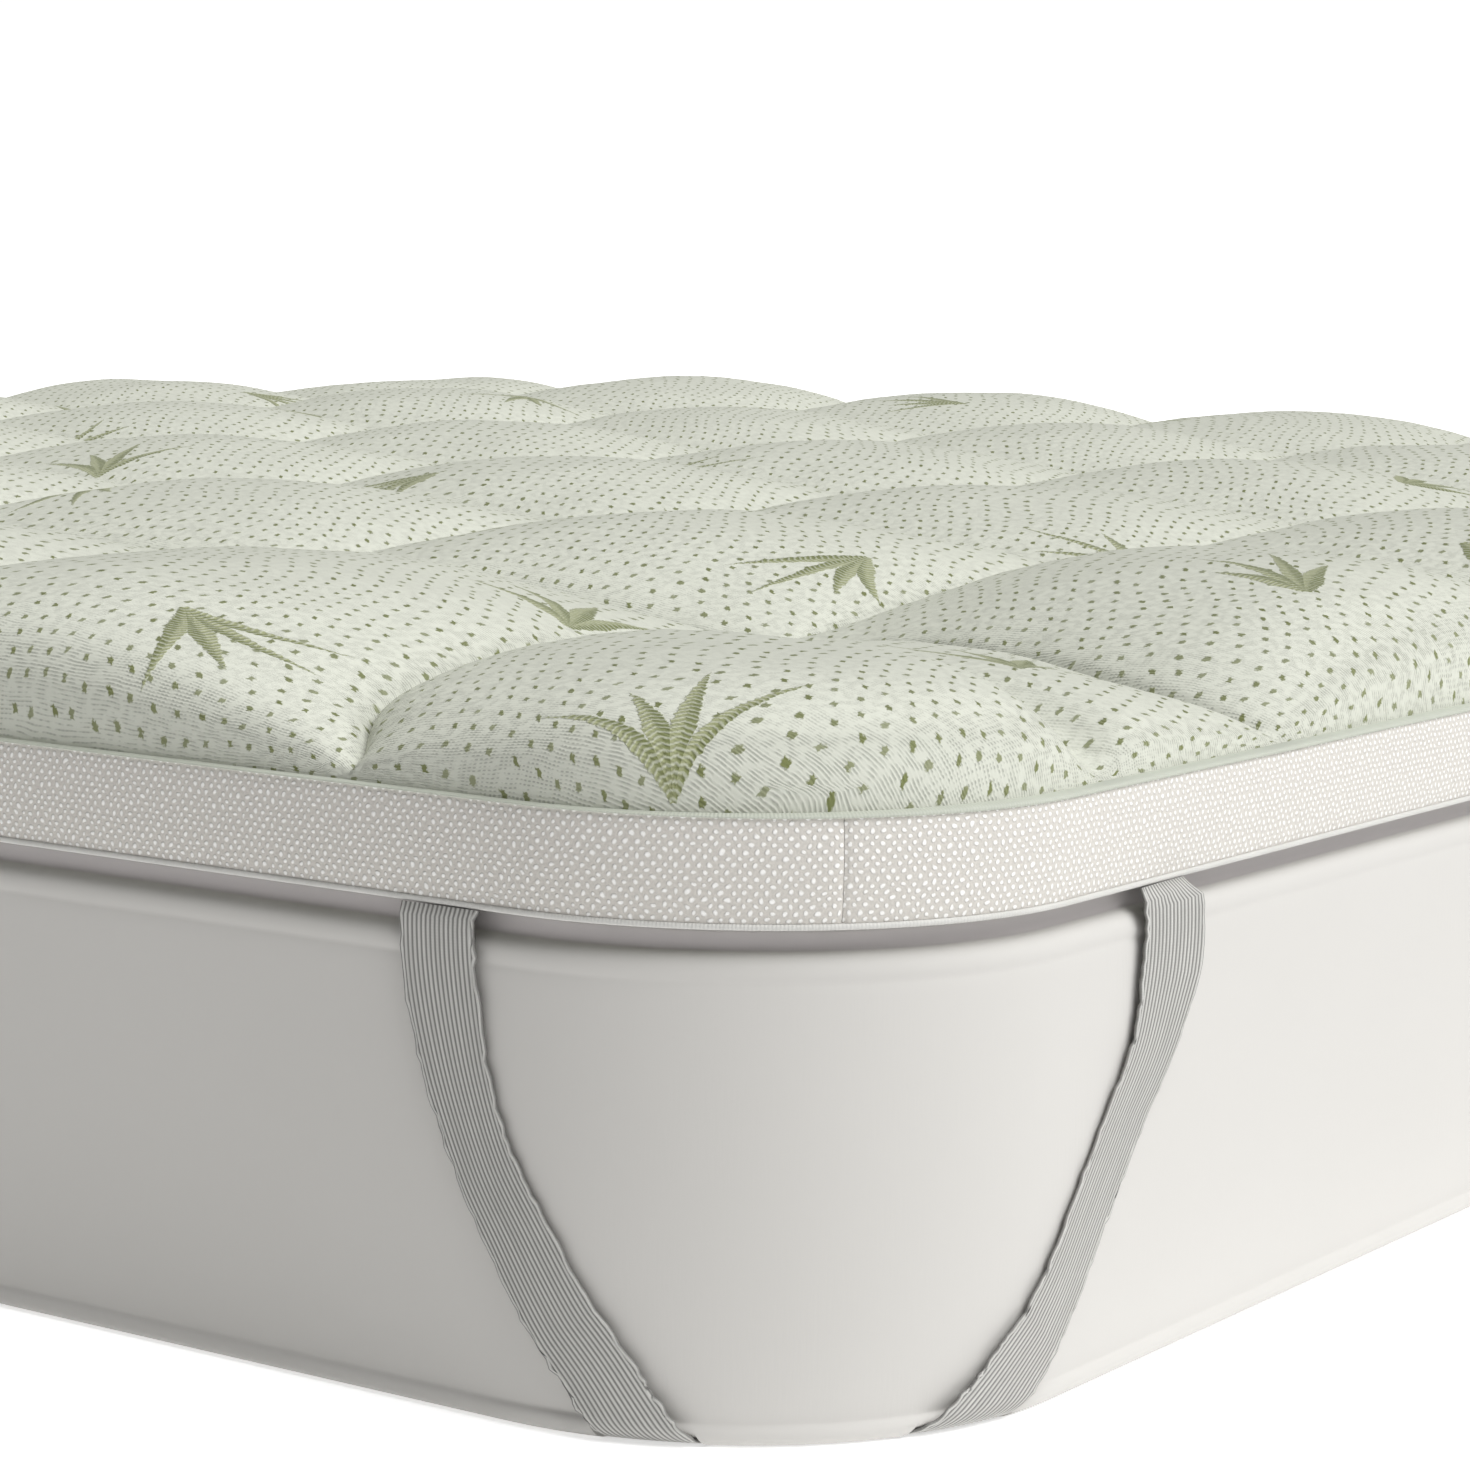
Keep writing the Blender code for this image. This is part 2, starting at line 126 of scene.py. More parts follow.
# Steps along the outline's straight sides and round its corners
MATTRESS_STEPS = (0.035, 0.011)
BORDER_STEPS = (0.020, 0.0066)
TAPE_STEPS = (0.024, 0.0075)
# The border's seam: its place along the outline, the close stops beside it, the rest's distance, its tuck
SEAM_PLACE = 0.010
SEAM_STOPS = (0.0001, 0.0007, 0.0015, 0.0028)
SEAM_CLEAR = 0.004
SEAM_TUCK = {"depth": 0.0007, "reach": 0.0014}
# The border between its tapes, and how loose it is
BORDER_ENDS = {"above_base": 0.0024, "below_top": 0.0016}
BORDER_SLACK = 0.0004
# Sections of the border and tapes and the mattress's profile, as distance inside the outline and height
BORDER_SECTION = (
    # inset, part of the height
    (0.0012, 0.00), (0.0006, 0.12), (0.0001, 0.35), (0.0000, 0.60), (0.0004, 0.85), (0.0012, 1.00),
    (0.0038, 1.00), (0.0036, 0.50), (0.0038, 0.00),
)
TOP_TAPE_SECTION = (
    # inset, height above the border's top edge
    (0.0006, -0.0016), (0.0003, -0.0011), (0.0003, -0.0005), (0.0008, 0.0001), (0.0022, 0.0006),
    (0.0040, 0.0009), (0.0050, 0.0010), (0.0053, 0.0003), (0.0044, -0.0009), (0.0020, -0.0016),
)
BOTTOM_TAPE_SECTION = (
    # inset, height above the topper's base
    (0.0010, 0.0001), (0.0002, 0.0005), (0.0000, 0.0012), (0.0002, 0.0019), (0.0010, 0.0023),
    (0.0030, 0.0022), (0.0040, 0.0012), (0.0030, 0.0001),
)
# Waviness of the tapes, the part of the top one's height that the front end's pillows turn in, and from where
TOP_TAPE_WAVE = 0.0005
BOTTOM_TAPE_WAVE = 0.0003
TAPE_TURNED = 0.60
TAPE_FRONT = {"start": 0.900, "full": 0.990}
# How far the mattress's cover swells and sinks
COVER_SLACK = 0.0012
MATTRESS_PROFILE = (
    # inset, height
    (0.0072, 0.0000), (0.0048, 0.0002), (0.0028, 0.0010), (0.0017, 0.0026), (0.0014, 0.0048),
    (0.0019, 0.0066), (0.0030, 0.0080), (0.0030, 0.0094), (0.0024, 0.0140), (0.0016, 0.0280),
    (0.0007, 0.0600), (0.0002, 0.0950), (0.0006, 0.1300), (0.0013, 0.1550), (0.0017, 0.1635),
    (0.0021, 0.1660), (0.0018, 0.1682), (0.0018, 0.1704), (0.0025, 0.1730), (0.0044, 0.1752),
    (0.0064, 0.1763), (0.0078, 0.1768), (0.0086, 0.1776), (0.0089, 0.1795), (0.0091, 0.1830),
    (0.0104, 0.1846), (0.0190, 0.1850),
)

# Corner straps: each side's run, as distance along the outline from the corner's middle, and height
STRAP_CLEARANCE = 0.0010
STRAP_WRAP_RADIUS = 0.0090
STRAP_STATIONS = 220
STRAP_RIBS = 17
RIB_HEIGHT = 0.00040
# Frayed edges: depth and pitch of the notches, waves to a metre of what varies them, and how far the two
# edges' notches and waves are out of step
STRAP_NOTCH = 0.0050
STRAP_NOTCH_PITCH = 0.0090
STRAP_FRAY_WAVES = 60
STRAP_OUT_OF_STEP = {"notch": 1.3, "wave": 9.0}
STRAP_TOP_INSET = 0.0002
STRAP_TOP_REACH = 0.005
STRAP_TOP_EASE = 1.8
# The side run's edge away from the corner stands off: how far at most, and where, as heights
STAND_OFF = {"most": 0.0070, "low": 0.100, "full": 0.150, "top": 0.185, "tuck": 0.006}
# The pulled elastic is narrower lower down: the part of its width that is left, and from where, as heights
NECKING = {"least": 0.84, "wide": 0.165, "narrow": 0.095}
END_RUN = (
    # along, height
    (0.1435, 0.1850), (0.1425, 0.1650), (0.1385, 0.1420), (0.1315, 0.1180), (0.1204, 0.0925),
    (0.1062, 0.0700), (0.0897, 0.0440), (0.0770, 0.0285),
)
SIDE_RUN = (
    # along, height
    (0.1830, 0.1850), (0.1845, 0.1660), (0.1820, 0.1480), (0.1740, 0.1240), (0.1580, 0.1015),
    (0.1375, 0.0760), (0.1180, 0.0510), (0.1040, 0.0350), (0.0930, 0.0245),
)
UNDER_ALONG = 0.040
UNDER_INSET = 0.022
UNDER_STEPS = 3
# How much closer stations stand where the strap turns under the mattress's edge, and how far beyond
TURN_WEIGHT = 3.0
TURN_MARGIN = 0.012
# Grooves that the straps press into the mattress: columns of the cutting shell, how much wider it is than
# the strap, its thickness, and the offset that puts most of that on its outer side
GROOVE_COLUMNS = 12
GROOVE_MARGIN = 0.0007
GROOVE_THICKNESS = 0.0045
GROOVE_OFFSET = 0.50
CORNERS = (
    # name, mirrored across X, mirrored across Y
    ("front_right", 1, 1), ("back_right", 1, -1), ("back_left", -1, -1), ("front_left", -1, 1),
)

# Knitted panel: the rows of dashes waver, and each dash has its own place, slant and frayed edge
DASH_WAVER = {"size": 0.030, "waves": 9.0}
DASH_ROWS = 0.9
DASH_PLACE = (0.38, 0.62)
DASH_SLANT = (-0.1, 0.6)
DASH_WIDTH = (0.090, 0.140)
DASH_HEIGHT = (0.125, 0.185)
DASH_FRAY = 0.055
# Leaf tufts: where their cells start, which chances they draw, how far they are shifted in a cell, the
# part of the cells left bare, and how far the root is behind the middle
TUFT_CELLS = (0.154, 0.530, 0.0)
TUFT_CHANCES = (34.0, 30.0, 0.0)
TUFT_SHIFT = 0.22
TUFT_BARE = 0.20
TUFT_ROOT = 0.040
# Blades of a tuft, numbered from its middle: the angle between two at the root, how much it grows with
# each metre, their sizes, how much shorter each further one is, and how they vary
BLADES = (-1.0, 2.0)
BLADE_ANGLE = 0.22
BLADE_CURVE = (2.0, 3.4)
BLADE_LENGTH = (0.074, 0.102)
BLADE_SHORTER = 0.011
BLADE_HALF_WIDTH = (0.0055, 0.0095)
BLADE_VARIATION = {"blade": 1.9, "tuft": 6.0}
BLADE_ROOT = {"length": 0.32, "width": 0.28}
BLADE_TAPER = 0.80
BLADE_EDGE = 0.0007
BLADE_FOLD = 0.0012
BLADE_RIB = 0.0031
# Courses and wales of the knit, in metres. Real courses are nearer 1 mm apart, and these are drawn coarser
# so that they show
COURSE = 0.0017
WALE = 0.0021
# Ribs of the woven tape and picks of the elastic, in metres
TAPE_RIB = 0.0014
ELASTIC_PICK = 0.0011
# Spacer mesh: rows of dots to a dot's pitch, a row's part of the pitch, and how unevenly the dots lie
MESH_ROWS = 1.65
MESH_ROW_HEIGHT = 0.61
MESH_WAVER = {"size": 0.0022, "waves": 160.0}

# Camera of the product picture, for a 1470 x 1471 image
CAMERA_PLACE = (1.6126, -2.1088, 0.2060)
CAMERA_TURN = (82.5911, -0.9839, 34.5968)
CAMERA_LENS = 98.678
# Studio: a white floor that is brighter to the camera than to the part, a white world and a wide softbox
FLOOR_SIZE = 60.0
FLOOR_DROP = 0.0002
FLOOR_GLOW = (0.32, 0.50)
WORLD_GLOW = 0.08
WORLD_BACKDROP = 1.05
SOFTBOX_POWER = 3.55
SOFTBOX_DISC = 50
SOFTBOX_AIM = (-0.56, -0.12, -0.82)

# Node kinds that the materials use
MATH = "ShaderNodeMath"
VECTOR = "ShaderNodeVectorMath"
RANGE = "ShaderNodeMapRange"
MIX = "ShaderNodeMix"
NOISE = "ShaderNodeTexNoise"
CHANCE = "ShaderNodeTexWhiteNoise"
SPLIT = "ShaderNodeSeparateXYZ"
CLAMP = "ShaderNodeClamp"
CLOTH_MAP = "ShaderNodeUVMap"
BUMP = "ShaderNodeBump"
SURFACE = "ShaderNodeBsdfPrincipled"
OUTPUT = "ShaderNodeOutputMaterial"


def srgb(colour):
    """An sRGB hex colour as linear red, green, blue and full alpha."""
    channels = [int(colour[start:start + 2], 16) / 255 for start in (1, 3, 5)]
    return [c / 12.92 if c <= 0.04045 else ((c + 0.055) / 1.055) ** 2.4 for c in channels] + [1.0]


def size_property(name, description, default):
    """A length in metres that a user may change."""
    return bpy.props.FloatProperty(name=name, description=description, default=default, min=0.0,
                                   subtype="DISTANCE", unit="LENGTH", precision=4)


def colour_property(name, description, default):
    """A colour that a user may change, given as sRGB hex."""
    return bpy.props.FloatVectorProperty(name=name, description=description, default=srgb(default),
                                         size=4, min=0.0, max=1.0, subtype="COLOR")


class TopperSizes(bpy.types.PropertyGroup):
    """Real sizes of the topper and its mattress."""

    width: size_property("Width", "Across the bed, at the outline", 1.800)
    length: size_property("Length", "Along the bed, at the outline", 2.000)
    corner_radius: size_property("Corner radius", "Radius of the outline's corners", 0.145)
    pillow_pitch: size_property("Pillow pitch", "From one sewn channel to the next", 0.300)
    channel_rise: size_property("Channel rise", "Sewn channels above the border's top edge", 0.027)
    crest_rise: size_property("Crest rise", "Pillow crests above the border's top edge", 0.056)
    strap_width: size_property("Strap width", "Width of the elastic straps", 0.035)
    strap_thickness: size_property("Strap thickness", "Thickness of the elastic straps", 0.0015)
    dash_pitch: size_property("Dash pitch", "Between the small knitted dashes", 0.0108)
    leaf_pitch: size_property("Leaf pitch", "Between one leaf tuft and the next", 0.240)
    dot_pitch: size_property("Dot pitch", "Between the border mesh's raised dots", 0.0040)


class TopperColours(bpy.types.PropertyGroup):
    """Colours of the cloths, tapes and straps."""

    panel: colour_property("Panel", "Ground of the knitted top panel", "#DEE0D4")
    # Shade of the knit's courses, and painted shade on the panel's steep slopes
    panel_course_and_slope_shade: colour_property("Panel shade", "Between the courses of the knit", "#A9ABA1")
    dash: colour_property("Dash", "Small dashes on the top panel", "#757B4E")
    leaf: colour_property("Leaf", "Darker half of each leaf", "#7C8257")
    leaf_light: colour_property("Leaf light", "Lighter half of each leaf", "#A3A781")
    border: colour_property("Border", "Ground of the border's mesh", "#CFCBC4")
    border_dot: colour_property("Border dots", "Raised dots of the border's mesh", "#F5F4F1")
    top_tape: colour_property("Top tape", "Tape along the border's top edge", "#BDC1B5")
    bottom_tape: colour_property("Bottom tape", "Tape along the border's bottom edge", "#CFCECA")
    strap: colour_property("Strap", "Ribs of the elastic straps", "#C9C8C4")
    # Dark colour painted as shade in the grooves between the ribs, and used for the ribs' random mottling
    strap_mottle_and_groove_shade: colour_property("Strap grooves", "Between the ribs of the straps", "#83827F")
    mattress: colour_property("Mattress", "The mattress's smooth cloth", "#CAC8C4")
    # Painted shade on the recessed wall above the mattress's shoulder, under the topper's edge
    recess_painted_shade: colour_property("Recess", "The mattress's cloth above its shoulder", "#B9B4B4")
    floor: colour_property("Floor", "The studio floor", "#FCFCFC")


class Plan:
    """The bed's round-cornered outline, which every piece follows."""

    def __init__(self, sizes):
        self.half_x = sizes.width / 2
        self.half_y = sizes.length / 2
        self.radius = sizes.corner_radius
        self.centre_x = self.half_x - self.radius
        self.centre_y = self.half_y - self.radius
        self.arc = self.radius * math.pi / 2
        self.half_turn = 2 * (self.centre_x + self.centre_y + self.arc)

    def point(self, along, inset):
        """Plan point at a distance along the outline from the middle of the front right corner."""
        half_turns, place = divmod(along, self.half_turn)
        radius = self.radius - inset
        side_start = self.arc / 2
        back_corner = side_start + 2 * self.centre_y
        end_start = back_corner + self.arc
        left_corner = end_start + 2 * self.centre_x
        if place <= side_start:
            angle = place / self.radius - math.pi / 4
            x, y = self.centre_x + radius * math.cos(angle), radius * math.sin(angle) - self.centre_y
        elif place <= back_corner:
            x, y = self.centre_x + radius, place - side_start - self.centre_y
        elif place <= end_start:
            angle = (place - back_corner) / self.radius
            x, y = self.centre_x + radius * math.cos(angle), self.centre_y + radius * math.sin(angle)
        elif place <= left_corner:
            x, y = self.centre_x - (place - end_start), self.centre_y + radius
        else:
            angle = math.pi / 2 + (place - left_corner) / self.radius
            x, y = radius * math.cos(angle) - self.centre_x, self.centre_y + radius * math.sin(angle)
        return (x, y) if half_turns % 2 == 0 else (-x, -y)

    def stops(self, side_step, corner_step):
        """Distances along the whole outline, closer together round its corners."""
        stretches = ((self.arc / 2, corner_step), (2 * self.centre_y, side_step), (self.arc, corner_step),
                     (2 * self.centre_x, side_step), (self.arc / 2, corner_step))
        stops = []
        place = 0.0
        for _ in range(2):
            for length, step in stretches:
                count = round(length / step)
                stops += [place + length * k / count for k in range(count)]
                place += length
        return stops

    def edge_distance(self, x, y):
        """Distance from a plan point to the round-cornered edge of the quilted body."""
        radius = self.radius - BODY_INSET
        over_x, over_y = abs(x) - self.centre_x, abs(y) - self.centre_y
        if over_x > 0 and over_y > 0:
            return max(0.0, radius - math.hypot(over_x, over_y))
        return max(0.0, radius - max(over_x, over_y))

    def round_corner(self, x, y):
        """Moves a point of the square-cornered plan into the round-cornered one."""
        radius = self.radius - BODY_INSET
        half_x, half_y = self.half_x - BODY_INSET, self.half_y - BODY_INSET
        x, y = x * half_x / self.half_x, y * half_y / self.half_y
        over_x = (abs(x) - half_x + radius) / radius
        over_y = (abs(y) - half_y + radius) / radius
        if over_x <= 0 or over_y <= 0:
            return x, y
        round_x = over_x * math.sqrt(1 - over_y ** 2 / 2)
        round_y = over_y * math.sqrt(1 - over_x ** 2 / 2)
        return (math.copysign(half_x - radius + radius * round_x, x),
                math.copysign(half_y - radius + radius * round_y, y))


def add_piece(name, builder, material, slot_name, *nodes):
    """One finished piece from its bmesh, riding on the part and standing for the CAD nodes given."""
    bmesh.ops.recalc_face_normals(builder, faces=builder.faces)
    mesh = bpy.data.meshes.new(name)
    builder.to_mesh(mesh)
    builder.free()
    mesh.shade_smooth()
    mesh.materials.append(material)
    piece = bpy.data.objects.new(name, mesh)
    bpy.context.scene.collection.objects.link(piece)
    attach(piece, "root")
    if nodes:
        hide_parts(*nodes)
    return piece


def smooth_section(points, steps):
    """The points with more between them, on a smooth curve through them (Catmull-Rom)."""
    ends = [points[0]] + list(points) + [points[-1]]
    fine = []
    for before, start, end, after in zip(ends, ends[1:], ends[2:], ends[3:]):
        for part in (k / steps for k in range(steps)):
            fine.append(tuple(
                0.5 * (2 * b + (c - a) * part + (2 * a - 5 * b + 4 * c - d) * part ** 2
                       + (3 * b - a - 3 * c + d) * part ** 3)
                for a, b, c, d in zip(before, start, end, after)))
    return fine + [tuple(points[-1])]


def sweep(plan, section, stops, ring=True, tube=True, sway=None):
    """Mesh of a section of insets and heights carried along the outline, with a UV map in metres.

    A ring joins its last stop to its first, a tube joins its section's last point to its first, and what
    isn't joined is capped. The sway moves a point by an inset and a height.
    """
    builder = bmesh.new()
    layer = builder.loops.layers.uv.new("cloth")
    closed = section + section[:1] if tube else section
    reach = [0.0]
    for start, end in zip(closed, closed[1:]):
        reach.append(reach[-1] + math.dist(start, end))
    rows = []
    for stop in stops:
        row = []
        for inset, height in section:
            more_inset, more_height = sway(stop, inset, height) if sway else (0.0, 0.0)
            row.append(builder.verts.new((*plan.point(stop, inset + more_inset), height + more_height)))
        rows.append(row)
    lengths = list(stops) + [stops[0] + 2 * plan.half_turn]
    for near in range(len(stops) - (0 if ring else 1)):
        far = (near + 1) % len(stops)
        for low in range(len(section) - (0 if tube else 1)):
            high = (low + 1) % len(section)
            face = builder.faces.new((rows[near][low], rows[far][low], rows[far][high], rows[near][high]))
            corners = ((near, low), (near + 1, low), (near + 1, low + 1), (near, low + 1))
            for loop, (stop, point) in zip(face.loops, corners):
                loop[layer].uv = (lengths[stop], reach[point])
    if not ring:
        for row in (rows[0], rows[-1]):
            builder.faces.new(row)
    if not tube:
        for point in (0, -1):
            builder.faces.new([row[point] for row in rows])
    return builder


class Quilt:
    """The quilted top: where its sewn channels run and how high it stands."""

    def __init__(self, plan, sizes):
        self.plan = plan
        self.pitch = sizes.pillow_pitch
        self.channel = sizes.channel_rise
        self.crest = sizes.crest_rise
        self.columns = self.stations(2 * plan.half_x)
        self.rows = self.stations(2 * plan.half_y)
        self.spare = [0.0]
        stride = EDGE_RUN / SPARE_STEPS
        for step in range(SPARE_STEPS, 0, -1):
            drop = self.edge_rise(step * stride, 0.0) - self.edge_rise((step - 1) * stride, 0.0)
            self.spare.insert(0, self.spare[0] + math.hypot(drop * self.crest, stride) - stride)

    def stations(self, size):
        """Grid lines across the quilt: each as its place, pillow number and place in the pillow, 0 to 1."""
        end_row = (size - (PILLOWS - 2) * self.pitch) / 2
        lines = [-size / 2] + [end_row - size / 2 + self.pitch * k for k in range(PILLOWS - 1)] + [size / 2]
        stations = []
        for pillow, (start, end) in enumerate(zip(lines, lines[1:])):
            cells = round(PILLOW_CELLS * (end - start) / self.pitch)
            for k in range(cells):
                step = k / cells - math.sin(2 * math.pi * k / cells) * CELL_CROWDING
                stations.append((start + (end - start) * step, pillow, step))
        return stations + [(size / 2, PILLOWS - 1, 1.0)]

    def edge_rise(self, from_edge, y):
        """Part of its full height that the quilt has reached at a distance from the edge."""
        back = min(1.0, max(0.0, (y - BACK_EDGE["start"]) / (BACK_EDGE["full"] - BACK_EDGE["start"])))
        run = EDGE_RUN + BACK_EDGE["more_run"] * back
        return (1 - (1 - min(1.0, from_edge / run)) ** 2) ** (EDGE_POWER + BACK_EDGE["more_power"] * back)

    def cloth_point(self, x, y):
        """Where a plan point lies on the flat cloth, which is longer than its plan down the steep edges."""
        place = min(1.0, self.plan.edge_distance(x, y) / EDGE_RUN) * SPARE_STEPS
        low = min(int(place), SPARE_STEPS - 1)
        spare = SPARE_PART * (self.spare[low] + (self.spare[low + 1] - self.spare[low]) * (place - low))
        over_x, over_y = abs(x) - self.plan.centre_x, abs(y) - self.plan.centre_y
        if over_x > 0 and over_y > 0:
            over_x, over_y = over_x / math.hypot(over_x, over_y), over_y / math.hypot(over_x, over_y)
        else:
            over_x, over_y = (1.0, 0.0) if over_x > over_y else (0.0, 1.0)
        return x + math.copysign(spare * over_x, x), y + math.copysign(spare * over_y, y)

    def bow(self, place, other, half, other_half, most):
        """How far a point moves towards the nearer corner, near the edge that the channels cross."""
        outer = half - (half * 2 - (PILLOWS - 2) * self.pitch) / 2
        if abs(place) < outer:
            part = (abs(place) / outer) ** 3
        else:
            part = 1 - ((abs(place) - outer) / (half - outer)) ** 2
        return math.copysign(most * part * math.exp(-((other_half - abs(other)) / BOW_REACH) ** 2), place)

    def plan_point(self, column, row):
        """Where a grid point lies in plan."""
        x, y = column[0], row[0]
        half_x, half_y = self.plan.half_x, self.plan.half_y
        most = FRONT_RIGHT_BOW if x > 0 > y else CHANNEL_BOW
        turn = END_TURN * math.exp(-((half_y - abs(y)) / END_TURN_REACH) ** 2) if x > 0 > y else 0.0
        return self.plan.round_corner(x + self.bow(x, y, half_x, half_y, most["across"] + turn),
                                      y + self.bow(y, x, half_y, half_x, most["along"]))

    def swell(self, step, pillow):
        """Swell across one pillow, 1 at its middle and 0 at a channel; an end pillow has one channel."""
        across = step - 0.5
        if (pillow == 0 and across < 0) or (pillow == PILLOWS - 1 and across > 0):
            return 1.0
        return max(0.0, math.cos(math.pi * across))

    def corner_pillow(self, x, y):
        """The front right pillow's part of the crest's height, and how far its crease draws it down."""
        away = (y - CREASE["y"] + CREASE["turn"] * (x - CREASE["x"]) ** 2) / CREASE["width"]
        behind = min(1.0, max(0.0, away / HUMP_REACH + HUMP_AT_CREASE))
        behind = behind * behind * (3 - 2 * behind)
        strength = min(1.0, max(0.0, (x - CREASE["start"]) / (CREASE["full"] - CREASE["start"])))
        crest = DOME_CREST + (HUMP_CREST - DOME_CREST) * behind
        return crest, CREASE["depth"] * strength * math.exp(-away ** 2)

    def height(self, x, y, column, row):
        """Height of the quilted top above the border's top edge."""
        (_, across, step_x), (_, along, step_y) = column, row
        from_edge = self.plan.edge_distance(x, y)
        rise = self.edge_rise(from_edge, y)
        channel_rise = min(1.0, from_edge / CHANNEL_RUN) ** CHANNEL_RUN_POWER
        phase = (VARIATION_PHASE["across"] * across + VARIATION_PHASE["along"] * along
                 + VARIATION_PHASE["both"] * across * along)
        part, power, crease = 1 + CREST_VARIATION * math.sin(phase), PILLOW_POWER, 0.0
        if (across, along) == FRONT_RIGHT_PILLOW:
            part, crease = self.corner_pillow(x, y)
            power = DOME_POWER
        swell = (self.swell(step_x, across) * self.swell(step_y, along)) ** power * (1 - crease)
        crest = self.channel + (self.crest - self.channel) * part + PROUD_PILLOWS.get((across, along), 0.0)
        channel = self.channel
        for dip_x, dip_y, reach, depth, channel_depth in DIPS:
            dip = math.exp(-((x - dip_x) ** 2 + (y - dip_y) ** 2) / reach ** 2)
            crest -= depth * dip
            channel -= channel_depth * dip
        soft = sum(size * noise.noise(Vector((x * waves, y * waves, place)))
                   for size, waves, place in SOFTNESS)
        return channel_rise * channel * (1 - swell) + rise * (crest * swell + soft)


def add_node(tree, kind, *inputs, named=None, output=0, **settings):
    """Adds a node with its settings, sets or links its inputs, and returns an output, if it has one."""
    node = tree.nodes.new(kind)
    for name, value in settings.items():
        setattr(node, name, value)
    for socket, value in [*enumerate(inputs), *(named or {}).items()]:
        if isinstance(value, bpy.types.NodeSocket):
            tree.links.new(value, node.inputs[socket])
        elif value is not None:
            node.inputs[socket].default_value = value
    return node.outputs[output] if node.outputs else None


def new_material(name):
    """An empty node material, and the helper that adds nodes to it."""
    material = bpy.data.materials.new(name)
    material.use_nodes = True
    material.node_tree.nodes.clear()
    return material, partial(add_node, material.node_tree)


def repeated(add, place, pitch):
    """A wave from -1 to 1 that repeats each pitch."""
    return add(MATH, add(MATH, place, 2 * math.pi / pitch, operation="MULTIPLY"), operation="SINE")


def wavered(add, place, waver, detail):
    """The place, moved a little by a noise."""
    drift = add(NOISE, place, named={"Scale": waver["waves"], "Detail": detail}, noise_dimensions="2D",
                output="Color")
    drift = add(VECTOR, drift, (0.5, 0.5, 0.5), operation="SUBTRACT")
    return add(VECTOR, drift, (waver["size"], waver["size"], 0.0), place, operation="MULTIPLY_ADD")


def staggered_lattice(add, place, pitch, rows):
    """Column and row of a lattice whose every other row is half a cell on, and the place in the cell."""
    cells = add(VECTOR, place, (1 / pitch, rows / pitch, 0.0), operation="MULTIPLY")
    upright = add(SPLIT, cells, output="Y")
    row = add(MATH, upright, operation="FLOOR")
    stagger = add(MATH, row, 2.0, operation="FLOORED_MODULO")
    column = add(MATH, stagger, 0.5, add(SPLIT, cells, output="X"), operation="MULTIPLY_ADD")
    in_x, in_y = add(MATH, column, operation="FRACT"), add(MATH, upright, operation="FRACT")
    return add(MATH, column, operation="FLOOR"), row, in_x, in_y


def knitted_dashes(add, place, fray, pitch):
    """Small dashes in wavering rows, each with its own place and slant."""
    column, row, in_x, in_y = staggered_lattice(add, wavered(add, place, DASH_WAVER, 0.0), pitch, DASH_ROWS)
    dash_id = add("ShaderNodeCombineXYZ", column, row, 0.0)
    luck = add(CHANCE, dash_id, noise_dimensions="2D", output="Value")
    shift = add(CHANCE, dash_id, noise_dimensions="2D", output="Color")
    shift_x, shift_y = (add(RANGE, add(SPLIT, shift, output=axis), 0.0, 1.0, *DASH_PLACE) for axis in "XY")
    in_x = add(MATH, in_x, shift_x, operation="SUBTRACT")
    in_y = add(MATH, in_y, shift_y, operation="SUBTRACT")
    in_x = add(MATH, in_y, add(RANGE, luck, 0.0, 1.0, *DASH_SLANT), in_x, operation="MULTIPLY_ADD")
    across = add(MATH, add(MATH, in_x, operation="ABSOLUTE"), fray, operation="ADD")
    upright = add(MATH, add(MATH, in_y, operation="ABSOLUTE"), fray, operation="SUBTRACT")
    across = add(RANGE, across, *DASH_WIDTH, 1.0, 0.0)
    upright = add(RANGE, upright, *DASH_HEIGHT, 1.0, 0.0)
    dash = add(MATH, across, upright, operation="MULTIPLY")
    return add(MATH, dash, add(RANGE, luck, 0.0, 1.0, 0.75, 1.0), operation="MULTIPLY")


